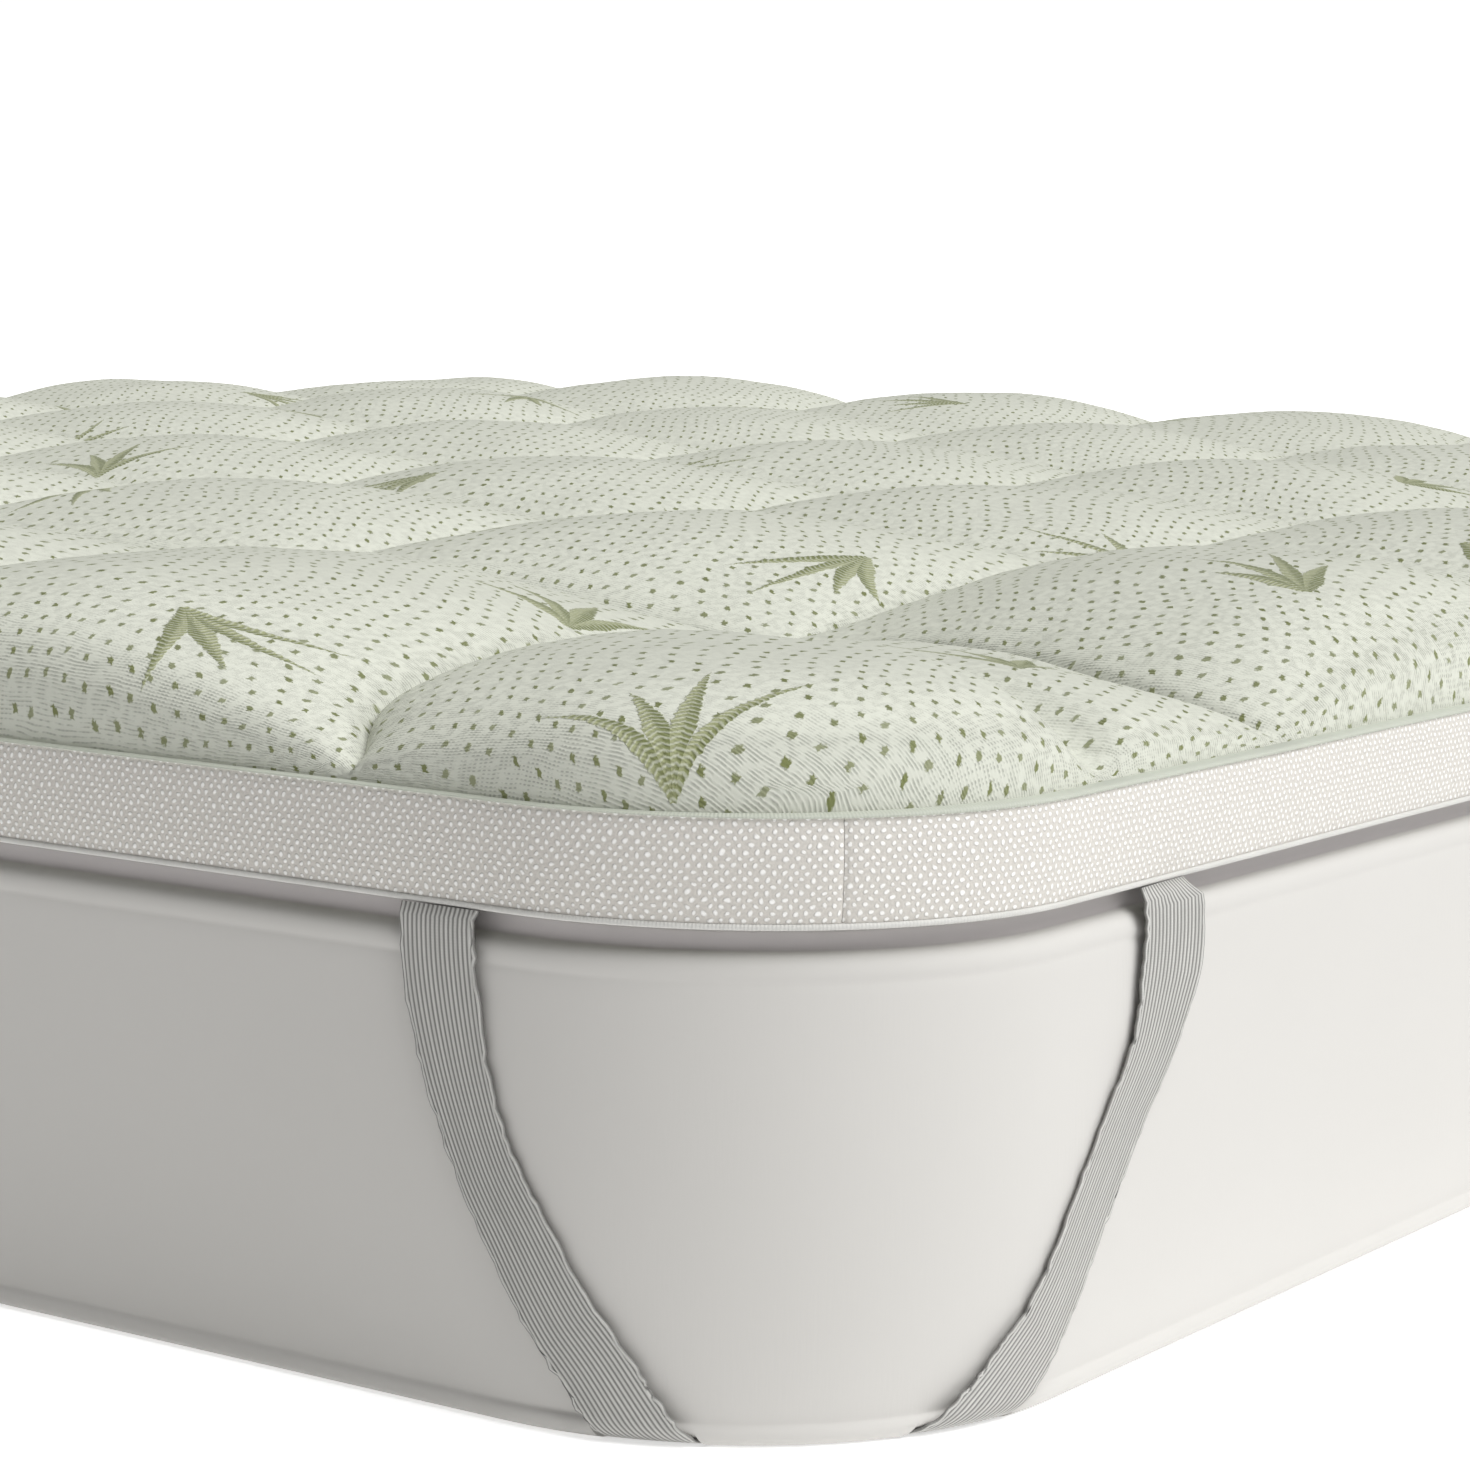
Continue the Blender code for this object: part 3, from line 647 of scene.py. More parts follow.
def leaf_tufts(add, place, fray, ripple, pitch):
    """Tufts of tapering blades that curve away from one root, one to a cell, turned and shifted by chance.

    Gives where the leaves are, which half of a blade a point is on, and the ribs across the blades.
    """
    cells = add(VECTOR, place, (1 / pitch, 1 / pitch, 0.0), TUFT_CELLS, operation="MULTIPLY_ADD")
    tuft_id = add(VECTOR, add(VECTOR, cells, operation="FLOOR"), TUFT_CHANCES, operation="ADD")
    chance = add(CHANCE, tuft_id, noise_dimensions="2D", output="Color")
    chance_x, chance_y, chance_z = (add(SPLIT, chance, output=axis) for axis in "XYZ")
    inside = add(VECTOR, add(VECTOR, cells, operation="FRACTION"), (0.5, 0.5, 0.0), operation="SUBTRACT")
    shift = add(VECTOR, chance, (0.5, 0.5, 0.5), operation="SUBTRACT")
    shifted = add(VECTOR, shift, (-TUFT_SHIFT, -TUFT_SHIFT, 0.0), inside, operation="MULTIPLY_ADD")
    metres = add(VECTOR, shifted, (pitch, pitch, 0.0), operation="MULTIPLY")
    turn = add(MATH, chance_z, 2 * math.pi, operation="MULTIPLY")
    turned = add("ShaderNodeVectorRotate", metres, named={"Angle": turn}, rotation_type="Z_AXIS")
    turned = add(VECTOR, turned, (TUFT_ROOT, 0.0, 0.0), operation="ADD")
    radius = add(VECTOR, turned, operation="LENGTH", output="Value")
    bearing = add(MATH, add(SPLIT, turned, output="Y"), add(SPLIT, turned, output="X"), operation="ARCTAN2")

    # The nearest blade, and the place along it and beside it
    curve = add(RANGE, chance_y, 0.0, 1.0, *BLADE_CURVE)
    spread = add(MATH, radius, curve, BLADE_ANGLE, operation="MULTIPLY_ADD")
    blade = add(MATH, add(MATH, bearing, spread, operation="DIVIDE"), operation="ROUND")
    blade = add(CLAMP, blade, *BLADES)
    blade_bearing = add(MATH, blade, spread, operation="MULTIPLY")
    off_blade = add(MATH, blade_bearing, -1.0, bearing, operation="MULTIPLY_ADD")
    along = add(MATH, radius, add(MATH, off_blade, operation="COSINE"), operation="MULTIPLY")
    beside = add(MATH, radius, add(MATH, off_blade, operation="SINE"), operation="MULTIPLY")
    beside = add(MATH, fray, 0.010, beside, operation="MULTIPLY_ADD")
    from_middle = add(MATH, beside, operation="ABSOLUTE")

    # Each blade's own length and width, narrow at the root and tapering to its tip
    wave = add(MATH, chance_y, BLADE_VARIATION["tuft"], operation="MULTIPLY")
    wave = add(MATH, blade, BLADE_VARIATION["blade"], wave, operation="MULTIPLY_ADD")
    wave = add(MATH, wave, operation="SINE")
    length = add(RANGE, wave, -1.0, 1.0, *BLADE_LENGTH)
    outward = add(MATH, blade, operation="ABSOLUTE")
    length = add(MATH, outward, -BLADE_SHORTER, length, operation="MULTIPLY_ADD")
    part = add(CLAMP, add(MATH, along, length, operation="DIVIDE"))
    taper = add(MATH, add(MATH, 1.0, part, operation="SUBTRACT"), BLADE_TAPER, operation="POWER")
    ahead = add(MATH, along, 0.0, operation="GREATER_THAN")
    root = add(RANGE, part, 0.0, BLADE_ROOT["length"], BLADE_ROOT["width"], 1.0)
    root = add(MATH, root, ahead, operation="MULTIPLY")
    widest = add(RANGE, wave, 1.0, -1.0, *BLADE_HALF_WIDTH)
    half_width = add(MATH, add(MATH, taper, root, operation="MULTIPLY"), widest, operation="MULTIPLY")
    leaf = add(MATH, half_width, from_middle, operation="SUBTRACT")
    leaf = add(RANGE, leaf, 0.0, BLADE_EDGE, 0.0, 1.0, interpolation_type="SMOOTHSTEP")
    leaf = add(MATH, leaf, add(MATH, chance_x, TUFT_BARE, operation="GREATER_THAN"), operation="MULTIPLY")
    half = add(RANGE, beside, -BLADE_FOLD, BLADE_FOLD, 0.0, 1.0)
    rib_place = add(MATH, from_middle, 0.5, along, operation="MULTIPLY_ADD")
    ribs = repeated(add, add(MATH, ripple, 0.007, rib_place, operation="MULTIPLY_ADD"), BLADE_RIB)
    return leaf, half, ribs


def knit_courses(add, place, ripple):
    """The knit's courses, and how far their shade shows: more on steep slopes, where painted shade also greys
    the panel.
    """
    course = add(MATH, ripple, 0.006, add(SPLIT, place, output="Y"), operation="MULTIPLY_ADD")
    course = repeated(add, course, COURSE)
    wale = add(MATH, ripple, 0.004, add(SPLIT, place, output="X"), operation="MULTIPLY_ADD")
    wale = repeated(add, wale, WALE)

    # Wales cross them in patches; the courses show more where the panel's normal leans, and painted shade
    # greys those steep slopes
    patch = add(NOISE, place, named={"Scale": 14.0, "Detail": 0.0}, noise_dimensions="2D", output="Fac")
    patch = add(RANGE, patch, 0.42, 0.62, 0.15, 1.0, interpolation_type="SMOOTHSTEP")
    facing = add(SPLIT, add("ShaderNodeNewGeometry", output="Normal"), output="Z")
    steep = add(RANGE, facing, 0.97, 0.80, 0.25, 1.0, interpolation_type="SMOOTHSTEP")
    broken = add(NOISE, place, named={"Scale": 240.0, "Detail": 1.0}, noise_dimensions="2D", output="Fac")
    course = add(MATH, course, add(RANGE, broken, 0.32, 0.62, 0.1, 1.3), operation="MULTIPLY")
    mesh = add(MATH, add(MATH, course, wale, operation="MULTIPLY"), patch, operation="MULTIPLY")
    thread = add(RANGE, add(MATH, course, mesh, operation="ADD"), 0.2, 1.6, 0.0, 0.8)
    # Painted shade: steep slopes are greyed by their normal, whatever the pattern
    pulled = add(RANGE, facing, 0.97, 0.76, 0.0, 0.38, interpolation_type="SMOOTHSTEP")
    return course, add(MATH, thread, steep, pulled, operation="MULTIPLY_ADD")


def knitted_panel(sizes, colours):
    """Double-jacquard viscose knit, seen as a cream ground with olive dashes in wavering rows, tufts of
    ribbed leaves, fine courses that show more on the steep edges, and painted shade that greys the steep
    slopes."""
    material, add = new_material("jacquard_knit")
    place = add(CLOTH_MAP, uv_map="cloth")
    fray = add(NOISE, place, named={"Scale": 420.0, "Detail": 2.0}, noise_dimensions="2D", output="Fac")
    fray = add(RANGE, fray, 0.3, 0.7, -DASH_FRAY, DASH_FRAY)
    ripple = add(NOISE, place, named={"Scale": 30.0, "Detail": 2.0}, noise_dimensions="2D", output="Fac")
    dash = knitted_dashes(add, place, fray, sizes.dash_pitch)
    leaf, half, ribs = leaf_tufts(add, place, fray, ripple, sizes.leaf_pitch)
    course, shade = knit_courses(add, place, ripple)

    # The ground greys towards the panel shade in the knit's courses and, as painted shade, on the steep
    # slopes
    ground = add(MIX, named={0: shade, 6: colours.panel, 7: colours.panel_course_and_slope_shade}, data_type="RGBA", output=2)
    ground = add(MIX, named={0: dash, 6: ground, 7: colours.dash}, data_type="RGBA", output=2)
    leaves = add(MIX, named={0: half, 6: colours.leaf, 7: colours.leaf_light}, data_type="RGBA", output=2)
    between = add(RANGE, ribs, -0.2, 1.0, 0.0, 0.45)
    leaves = add(MIX, named={0: between, 6: leaves, 7: colours.panel}, data_type="RGBA", output=2)
    colour = add(MIX, named={0: leaf, 6: ground, 7: leaves}, data_type="RGBA", output=2)

    relief = add(MATH, course, 0.20, add(MATH, dash, 0.35, operation="MULTIPLY"), operation="MULTIPLY_ADD")
    leaf_relief = add(MATH, ribs, 0.35, 0.6, operation="MULTIPLY_ADD")
    relief = add(MATH, leaf, leaf_relief, relief, operation="MULTIPLY_ADD")
    bump = add(BUMP, named={"Strength": 0.6, "Distance": 0.001, "Height": relief})
    surface = add(SURFACE, named={
        "Base Color": colour, "Roughness": 0.92, "IOR": 1.5, "Specular IOR Level": 0.25,
        "Sheen Weight": 0.45, "Sheen Roughness": 0.40, "Sheen Tint": srgb("#E9EDD8"), "Normal": bump})
    add(OUTPUT, surface)
    return material


def spacer_mesh(sizes, colours):
    """Warp-knitted polyester spacer mesh, seen as a grey-beige net with raised white dots in a
    staggered, slightly uneven lattice."""
    material, add = new_material("spacer_mesh")
    place = add(CLOTH_MAP, uv_map="cloth")
    bent = wavered(add, place, MESH_WAVER, 1.0)
    _, _, in_x, in_y = staggered_lattice(add, bent, sizes.dot_pitch, MESH_ROWS)
    in_x = add(MATH, in_x, 0.5, operation="SUBTRACT")
    in_y = add(MATH, add(MATH, in_y, 0.5, operation="SUBTRACT"), MESH_ROW_HEIGHT, operation="MULTIPLY")
    spot = add(VECTOR, add("ShaderNodeCombineXYZ", in_x, in_y, 0.0), operation="LENGTH", output="Value")
    dot = add(RANGE, spot, 0.12, 0.29, 1.0, 0.0, interpolation_type="SMOOTHSTEP")
    fuzz = add(NOISE, place, named={"Scale": 900.0, "Detail": 2.0}, noise_dimensions="2D", output="Fac")
    shade = add(RANGE, fuzz, 0.3, 0.7, 0.0, 0.25)
    ground = add(MIX, named={0: shade, 6: colours.border, 7: srgb("#9E9B96")}, data_type="RGBA", output=2)
    colour = add(MIX, named={0: dot, 6: ground, 7: colours.border_dot}, data_type="RGBA", output=2)
    relief = add(MATH, dot, 0.6, add(MATH, fuzz, 0.15, operation="MULTIPLY"), operation="MULTIPLY_ADD")
    bump = add(BUMP, named={"Strength": 0.7, "Distance": 0.001, "Height": relief})
    surface = add(SURFACE, named={
        "Base Color": colour, "Roughness": 0.85, "IOR": 1.5, "Specular IOR Level": 0.3,
        "Sheen Weight": 0.15, "Sheen Roughness": 0.5, "Normal": bump})
    add(OUTPUT, surface)
    return material


def woven_tape(name, colour):
    """Woven polyester binding tape, seen as a smooth band with a fine cross rib."""
    material, add = new_material(name)
    place = add(CLOTH_MAP, uv_map="cloth")
    rib = repeated(add, add(SPLIT, place, output="X"), TAPE_RIB)
    cloud = add(NOISE, place, named={"Scale": 45.0, "Detail": 2.0}, noise_dimensions="2D", output="Fac")
    shade = add(RANGE, cloud, 0.3, 0.7, 0.0, 0.12)
    tone = add(MIX, named={0: shade, 6: colour, 7: srgb("#9D9F97")}, data_type="RGBA", output=2)
    bump = add(BUMP, named={"Strength": 0.25, "Distance": 0.0003, "Height": rib})
    surface = add(SURFACE, named={
        "Base Color": tone, "Roughness": 0.7, "IOR": 1.5, "Specular IOR Level": 0.35, "Normal": bump})
    add(OUTPUT, surface)
    return material


def ribbed_elastic(colours):
    """Ribbed woven elastic, seen as light ridges with painted shade in the grooves between them, all along
    the strap.
    """
    material, add = new_material("ribbed_elastic")
    place = add(CLOTH_MAP, uv_map="cloth")
    across = add(SPLIT, place, output="X")
    along = add(SPLIT, place, output="Y")
    ridge = add(MATH, add(MATH, across, 2 * math.pi * STRAP_RIBS, operation="MULTIPLY"), operation="COSINE")
    ridge = add(RANGE, ridge, -0.6, 0.9, 1.0, 0.0, interpolation_type="SMOOTHSTEP")
    pick = repeated(add, along, ELASTIC_PICK)
    cloud = add(NOISE, place, named={"Scale": 30.0, "Detail": 2.0}, noise_dimensions="2D", output="Fac")
    cloud = add(RANGE, cloud, 0.3, 0.7, 0.0, 0.2)
    # The cloud mottles the ribs at random with the same dark colour
    light = add(MIX, named={0: cloud, 6: colours.strap, 7: colours.strap_mottle_and_groove_shade}, data_type="RGBA", output=2)
    # Painted shade: the grooves between the raised ribs take the dark colour
    tone = add(MIX, named={0: ridge, 6: colours.strap_mottle_and_groove_shade, 7: light}, data_type="RGBA", output=2)
    relief = add(MATH, pick, 0.08, ridge, operation="MULTIPLY_ADD")
    bump = add(BUMP, named={"Strength": 0.5, "Distance": 0.0004, "Height": relief})
    surface = add(SURFACE, named={
        "Base Color": tone, "Roughness": 0.62, "IOR": 1.5, "Specular IOR Level": 0.35, "Normal": bump})
    add(OUTPUT, surface)
    return material


def stretch_cover(colours):
    """Smooth warp-knit mattress cover, seen as an even off-white with a barely seen vertical rib, and a
    painted shade band, greyer, on the recessed wall above the shoulder, under the topper's edge."""
    material, add = new_material("warp_knit_cover")
    place = add("ShaderNodeTexCoord", output="Object")
    height = add(SPLIT, place, output="Z")
    # Painted shade: the recessed wall under the topper's edge takes a greyer colour by height
    band = add(RANGE, height, MATTRESS_TOP - 0.0086, MATTRESS_TOP - 0.0078, 0.0, 1.0,
               interpolation_type="SMOOTHSTEP")
    cloud = add(NOISE, place, named={"Scale": 9.0, "Detail": 2.0}, output="Fac")
    cloud = add(RANGE, cloud, 0.3, 0.7, 0.0, 0.06)
    tone = add(MIX, named={0: cloud, 6: colours.mattress, 7: srgb("#B9B7B2")}, data_type="RGBA", output=2)
    tone = add(MIX, named={0: band, 6: tone, 7: colours.recess_painted_shade}, data_type="RGBA", output=2)
    stretch = add(VECTOR, place, (1.0, 1.0, 0.12), operation="MULTIPLY")
    rib = add(NOISE, stretch, named={"Scale": 700.0, "Detail": 1.0}, output="Fac")
    bump = add(BUMP, named={"Strength": 0.08, "Distance": 0.0005, "Height": rib})
    surface = add(SURFACE, named={
        "Base Color": tone, "Roughness": 0.88, "IOR": 1.5, "Specular IOR Level": 0.25,
        "Sheen Weight": 0.12, "Sheen Roughness": 0.5, "Normal": bump})
    add(OUTPUT, surface)
    return material


def studio_floor(colours):
    """Lit opal acrylic, seen as a plain white floor."""
    material, add = new_material("opal_acrylic")
    glow = add(RANGE, add("ShaderNodeLightPath", output="Is Camera Ray"), 0.0, 1.0, *FLOOR_GLOW)
    surface = add(SURFACE, named={
        "Base Color": colours.floor, "Roughness": 0.95, "Specular IOR Level": 0.0,
        "Emission Color": (1.0, 1.0, 1.0, 1.0), "Emission Strength": glow})
    add(OUTPUT, surface)
    return material


def station_weight(drop, side_drop):
    """How closely stations stand at a drop: closer where the strap turns under the mattress's edge."""
    turning = -TURN_MARGIN < drop - side_drop < STRAP_WRAP_RADIUS * math.pi / 2 + TURN_MARGIN
    return TURN_WEIGHT if turning else 1.0


def strap_centre(plan, side_drop):
    """Middle line of one strap, as distance along the outline and distance down the wrap."""
    down = [(-along, MATTRESS_TOP - height) for along, height in END_RUN]
    up = [(along, MATTRESS_TOP - height) for along, height in reversed(SIDE_RUN)]
    edge_angle = UNDER_ALONG / plan.radius
    chord = (plan.radius - UNDER_INSET) * math.cos(edge_angle)
    under = []
    for step in range(UNDER_STEPS):
        angle = edge_angle * (2 * step / (UNDER_STEPS - 1) - 1)
        inset = plan.radius - chord / math.cos(angle)
        turned = STRAP_WRAP_RADIUS * (math.pi / 2 - 1)
        under.append((angle * plan.radius, side_drop + turned + inset))
    fine = smooth_section(down + under + up, 12)
    reach = [0.0]
    for start, end in zip(fine, fine[1:]):
        reach.append(reach[-1] + math.dist(start, end) * station_weight(end[1], side_drop))
    even = []
    slot = 0
    for k in range(STRAP_STATIONS):
        target = reach[-1] * k / (STRAP_STATIONS - 1)
        while slot < len(fine) - 2 and reach[slot + 1] < target:
            slot += 1
        part = min(1.0, (target - reach[slot]) / max(reach[slot + 1] - reach[slot], 1e-9))
        even.append(tuple(a + (b - a) * part for a, b in zip(fine[slot], fine[slot + 1])))
    return even


def wrapped_point(plan, along, drop, lift, side_drop, thickness):
    """A point of the strap's middle surface, given as unrolled distances, folded round the mattress."""
    radius = STRAP_WRAP_RADIUS
    if drop <= side_drop:
        outside = STRAP_CLEARANCE + thickness / 2 + lift
        part = max(0.0, 1 - drop / STRAP_TOP_REACH)
        out = outside + (-STRAP_TOP_INSET - outside) * part ** STRAP_TOP_EASE
        return (*plan.point(along, -out), MATTRESS_TOP - drop)
    turn = min((drop - side_drop) / radius, math.pi / 2)
    beyond = max(0.0, drop - side_drop - radius * math.pi / 2)
    out = STRAP_CLEARANCE + thickness / 2 + lift * (1 - turn / (math.pi / 2))
    x, y = plan.point(along, -out + radius * (1 - math.cos(turn)) + beyond)
    return x, y, MATTRESS_TOP - side_drop - radius * math.sin(turn)


def strap_grid(plan, sizes, columns, extra_width, ribbed):
    """The strap's middle surface at the front right corner, with its UV map across and along it."""
    thickness = sizes.strap_thickness
    side_drop = MATTRESS_TOP - STRAP_WRAP_RADIUS - GAP - thickness / 2
    centre = strap_centre(plan, side_drop)
    lengths = [0.0]
    for start, end in zip(centre, centre[1:]):
        lengths.append(lengths[-1] + math.dist(start, end))
    last = STRAP_STATIONS - 1
    builder = bmesh.new()
    layer = builder.loops.layers.uv.new("cloth")
    bmesh.ops.create_grid(builder, x_segments=columns, y_segments=last, size=0.5)
    for face in builder.faces:
        for loop in face.loops:
            across, station = loop.vert.co.x + 0.5, round((loop.vert.co.y + 0.5) * last)
            loop[layer].uv = (across, lengths[station])
    ribs = []
    for vert in builder.verts:
        station = round((vert.co.y + 0.5) * last)
        column = round((vert.co.x + 0.5) * columns)
        along, drop = centre[station]
        before, after = centre[max(station - 1, 0)], centre[min(station + 1, last)]
        step = (after[0] - before[0], after[1] - before[1])
        length = math.hypot(*step)
        across_along, across_drop = -step[1] / length, step[0] / length
        if station in (0, last):
            across_along, across_drop = math.copysign(1.0, across_along), 0.0
        notch = 0.0
        if ribbed and column in (0, 1, columns - 1, columns):
            side = 1 if vert.co.x > 0 else 0
            place = math.pi * lengths[station] / STRAP_NOTCH_PITCH + STRAP_OUT_OF_STEP["notch"] * side
            wave = (lengths[station] * STRAP_FRAY_WAVES, STRAP_OUT_OF_STEP["wave"] * side, 0.0)
            notch = STRAP_NOTCH * abs(math.sin(place) * noise.noise(Vector(wave))) ** 0.5
        pulled = (NECKING["wide"] - MATTRESS_TOP + drop) / (NECKING["wide"] - NECKING["narrow"])
        pulled = min(1.0, max(0.0, pulled))
        width = sizes.strap_width * (1 - (1 - NECKING["least"]) * pulled * pulled * (3 - 2 * pulled))
        reach = vert.co.x * (width + 2 * extra_width - notch)
        place = along + reach * across_along
        drop = max(drop + reach * across_drop, 0.0)
        height = MATTRESS_TOP - drop
        lift = 0.0
        if along > 0:
            rising = (height - STAND_OFF["low"]) / (STAND_OFF["full"] - STAND_OFF["low"])
            easing = (STAND_OFF["top"] - height) / STAND_OFF["tuck"]
            outer = 0.5 + (place - along) / sizes.strap_width
            lift = STAND_OFF["most"] * outer * min(1.0, max(0.0, rising)) * min(1.0, max(0.0, easing))
        vert.co = wrapped_point(plan, place, drop, lift, side_drop, thickness)
        ribs.append((vert, column))
    if ribbed:
        builder.normal_update()
        for vert, column in ribs:
            vert.co += vert.normal * RIB_HEIGHT * (0.5 if column % 2 else -0.5)
    return builder


def mirror_corner(builder, flip_x, flip_y):
    """Moves the front right corner's strap to another corner."""
    bmesh.ops.transform(builder, matrix=Matrix.Diagonal((flip_x, flip_y, 1.0, 1.0)), verts=builder.verts)
    bmesh.ops.recalc_face_normals(builder, faces=builder.faces)


def cut_grooves(mattress, plan, sizes):
    """Presses the four straps' shallow grooves into the mattress's base and lower edge."""
    grooves = bpy.data.collections.new("grooves")
    for corner, flip_x, flip_y in CORNERS:
        builder = strap_grid(plan, sizes, GROOVE_COLUMNS, GROOVE_MARGIN, False)
        mirror_corner(builder, flip_x, flip_y)
        mesh = bpy.data.meshes.new("groove")
        builder.to_mesh(mesh)
        builder.free()
        outward = sum(face.normal.x * face.center.x + face.normal.y * face.center.y for face in mesh.polygons)
        if outward < 0:
            mesh.flip_normals()
        groove = bpy.data.objects.new("groove_" + corner, mesh)
        grooves.objects.link(groove)
        shell = groove.modifiers.new("thickness", "SOLIDIFY")
        shell.thickness, shell.offset = GROOVE_THICKNESS, GROOVE_OFFSET
    bpy.context.scene.collection.children.link(grooves)
    cut = mattress.modifiers.new("grooves", "BOOLEAN")
    cut.operation, cut.solver, cut.operand_type, cut.collection = "DIFFERENCE", "EXACT", "COLLECTION", grooves
    scene_graph = bpy.context.evaluated_depsgraph_get()
    pressed = bpy.data.meshes.new_from_object(mattress.evaluated_get(scene_graph))
    mattress.modifiers.clear()
    mattress.data = pressed
    for groove in list(grooves.objects):
        bpy.data.objects.remove(groove)
    bpy.data.collections.remove(grooves)


class TOPPER_OT_mattress(bpy.types.Operator):
    """Build the plain mattress with its base roll, shoulder seam and recessed top"""

    bl_idname = "topper.mattress"
    bl_label = "Mattress"

    def execute(self, context):
        sizes, colours = context.scene.topper_sizes, context.scene.topper_colours
        plan = Plan(sizes)

        def sway(stop, inset, height):
            """Slack of the cover: the sides are never quite flat."""
            belly = math.sin(math.pi * min(1.0, height / MATTRESS_TOP)) * COVER_SLACK
            x, y = plan.point(stop, inset)
            return belly * noise.noise(Vector((x * 3, y * 3, height * 5))), 0.0

        section = smooth_section(MATTRESS_PROFILE, 2)
        builder = sweep(plan, section, plan.stops(*MATTRESS_STEPS), tube=False, sway=sway)
        mattress = add_piece("mattress_cover", builder, stretch_cover(colours), "mattress", "mattress")
        cut_grooves(mattress, plan, sizes)
        mattress.data.set_sharp_from_angle(angle=math.radians(60))
        return {"FINISHED"}


class TOPPER_OT_quilted_body(bpy.types.Operator):
    """Build the filled, quilted body in its knitted top panel"""

    bl_idname = "topper.quilted_body"
    bl_label = "Quilted body"

    def execute(self, context):
        sizes, colours = context.scene.topper_sizes, context.scene.topper_colours
        quilt = Quilt(Plan(sizes), sizes)
        columns, rows = quilt.columns, quilt.rows
        builder = bmesh.new()
        bmesh.ops.create_grid(builder, x_segments=len(columns) - 1, y_segments=len(rows) - 1, size=0.5)
        layer = builder.loops.layers.uv.new("cloth")
        for vert in builder.verts:
            column = columns[round((vert.co.x + 0.5) * (len(columns) - 1))]
            row = rows[round((vert.co.y + 0.5) * (len(rows) - 1))]
            x, y = quilt.plan_point(column, row)
            vert.co = (x, y, BORDER_TOP + quilt.height(x, y, column, row))
            for loop in vert.link_loops:
                loop[layer].uv = quilt.cloth_point(x, y)
        rim = [edge for edge in builder.edges if edge.is_boundary]
        sides = bmesh.ops.extrude_edge_only(builder, edges=rim)["geom"]
        for vert in (item for item in sides if isinstance(item, bmesh.types.BMVert)):
            vert.co.z = TOPPER_BASE
        underside = [item for item in sides if isinstance(item, bmesh.types.BMEdge) and item.is_boundary]
        bmesh.ops.contextual_create(builder, geom=underside)
        knit = knitted_panel(sizes, colours)
        body = add_piece("quilted_panel", builder, knit, "quilted_body", "quilted_body")
        body.data.set_sharp_from_angle(angle=math.radians(75))
        return {"FINISHED"}


class TOPPER_OT_border(bpy.types.Operator):
    """Build the mesh border, whose ends meet in an upright seam at the front right corner"""

    bl_idname = "topper.border"
    bl_label = "Border"

    def execute(self, context):
        sizes, colours = context.scene.topper_sizes, context.scene.topper_colours
        plan = Plan(sizes)
        total = 2 * plan.half_turn
        low, high = TOPPER_BASE + BORDER_ENDS["above_base"], BORDER_TOP - BORDER_ENDS["below_top"]
        section = [(inset, low + (high - low) * part) for inset, part in BORDER_SECTION]

        def sway(stop, inset, height):
            """Unevenness of the cloth, and the tuck beside the seam."""
            from_seam = min(stop - SEAM_PLACE, total + SEAM_PLACE - stop)
            tuck = SEAM_TUCK["depth"] * math.exp(-(from_seam / SEAM_TUCK["reach"]) ** 2)
            slack = BORDER_SLACK * math.sin(math.pi * (height - low) / (high - low))
            return tuck + slack * noise.noise(Vector((stop * 14, height * 30, 0.0))), 0.0

        stops = [stop for stop in plan.stops(*BORDER_STEPS) if SEAM_CLEAR < stop < total - SEAM_CLEAR]
        stops = [*SEAM_STOPS, *stops, *(total - stop for stop in reversed(SEAM_STOPS))]
        stops = [SEAM_PLACE + stop for stop in stops]
        builder = sweep(plan, section, stops, ring=False, sway=sway)
        strip = add_piece("border_mesh", builder, spacer_mesh(sizes, colours), "border_strip", "border_strip")
        strip.data.set_sharp_from_angle(angle=math.radians(60))
        return {"FINISHED"}


class TOPPER_OT_tapes(bpy.types.Operator):
    """Build the tapes that bind the border's top and bottom edges"""

    bl_idname = "topper.tapes"
    bl_label = "Tapes"

    def execute(self, context):
        sizes, colours = context.scene.topper_sizes, context.scene.topper_colours
        plan = Plan(sizes)
        tapes = (
            # name, section, height that it starts from, colour, unevenness, part that the front end hides
            ("top_tape", TOP_TAPE_SECTION, BORDER_TOP, colours.top_tape, TOP_TAPE_WAVE, TAPE_TURNED),
            ("bottom_tape", BOTTOM_TAPE_SECTION, TOPPER_BASE, colours.bottom_tape, BOTTOM_TAPE_WAVE, 0.0),
        )
        for name, section, base, colour, uneven, turned in tapes:
            def sway(stop, inset, height, most=uneven, hidden=turned):
                """Slight waviness of a sewn tape, which the front end's pillows turn in."""
                front = -plan.point(stop, inset)[1] - TAPE_FRONT["start"]
                front = min(1.0, max(0.0, front / (TAPE_FRONT["full"] - TAPE_FRONT["start"])))
                more_inset = most * noise.noise(Vector((stop * 9, inset * 40, 2.0)))
                return more_inset, -hidden * front * (height - BORDER_TOP + BORDER_ENDS["below_top"])

            section = smooth_section([(inset, base + height) for inset, height in section], 2)
            builder = sweep(plan, section, plan.stops(*TAPE_STEPS), sway=sway)
            add_piece(name + "_binding", builder, woven_tape("woven_" + name, colour), name, name)
        return {"FINISHED"}


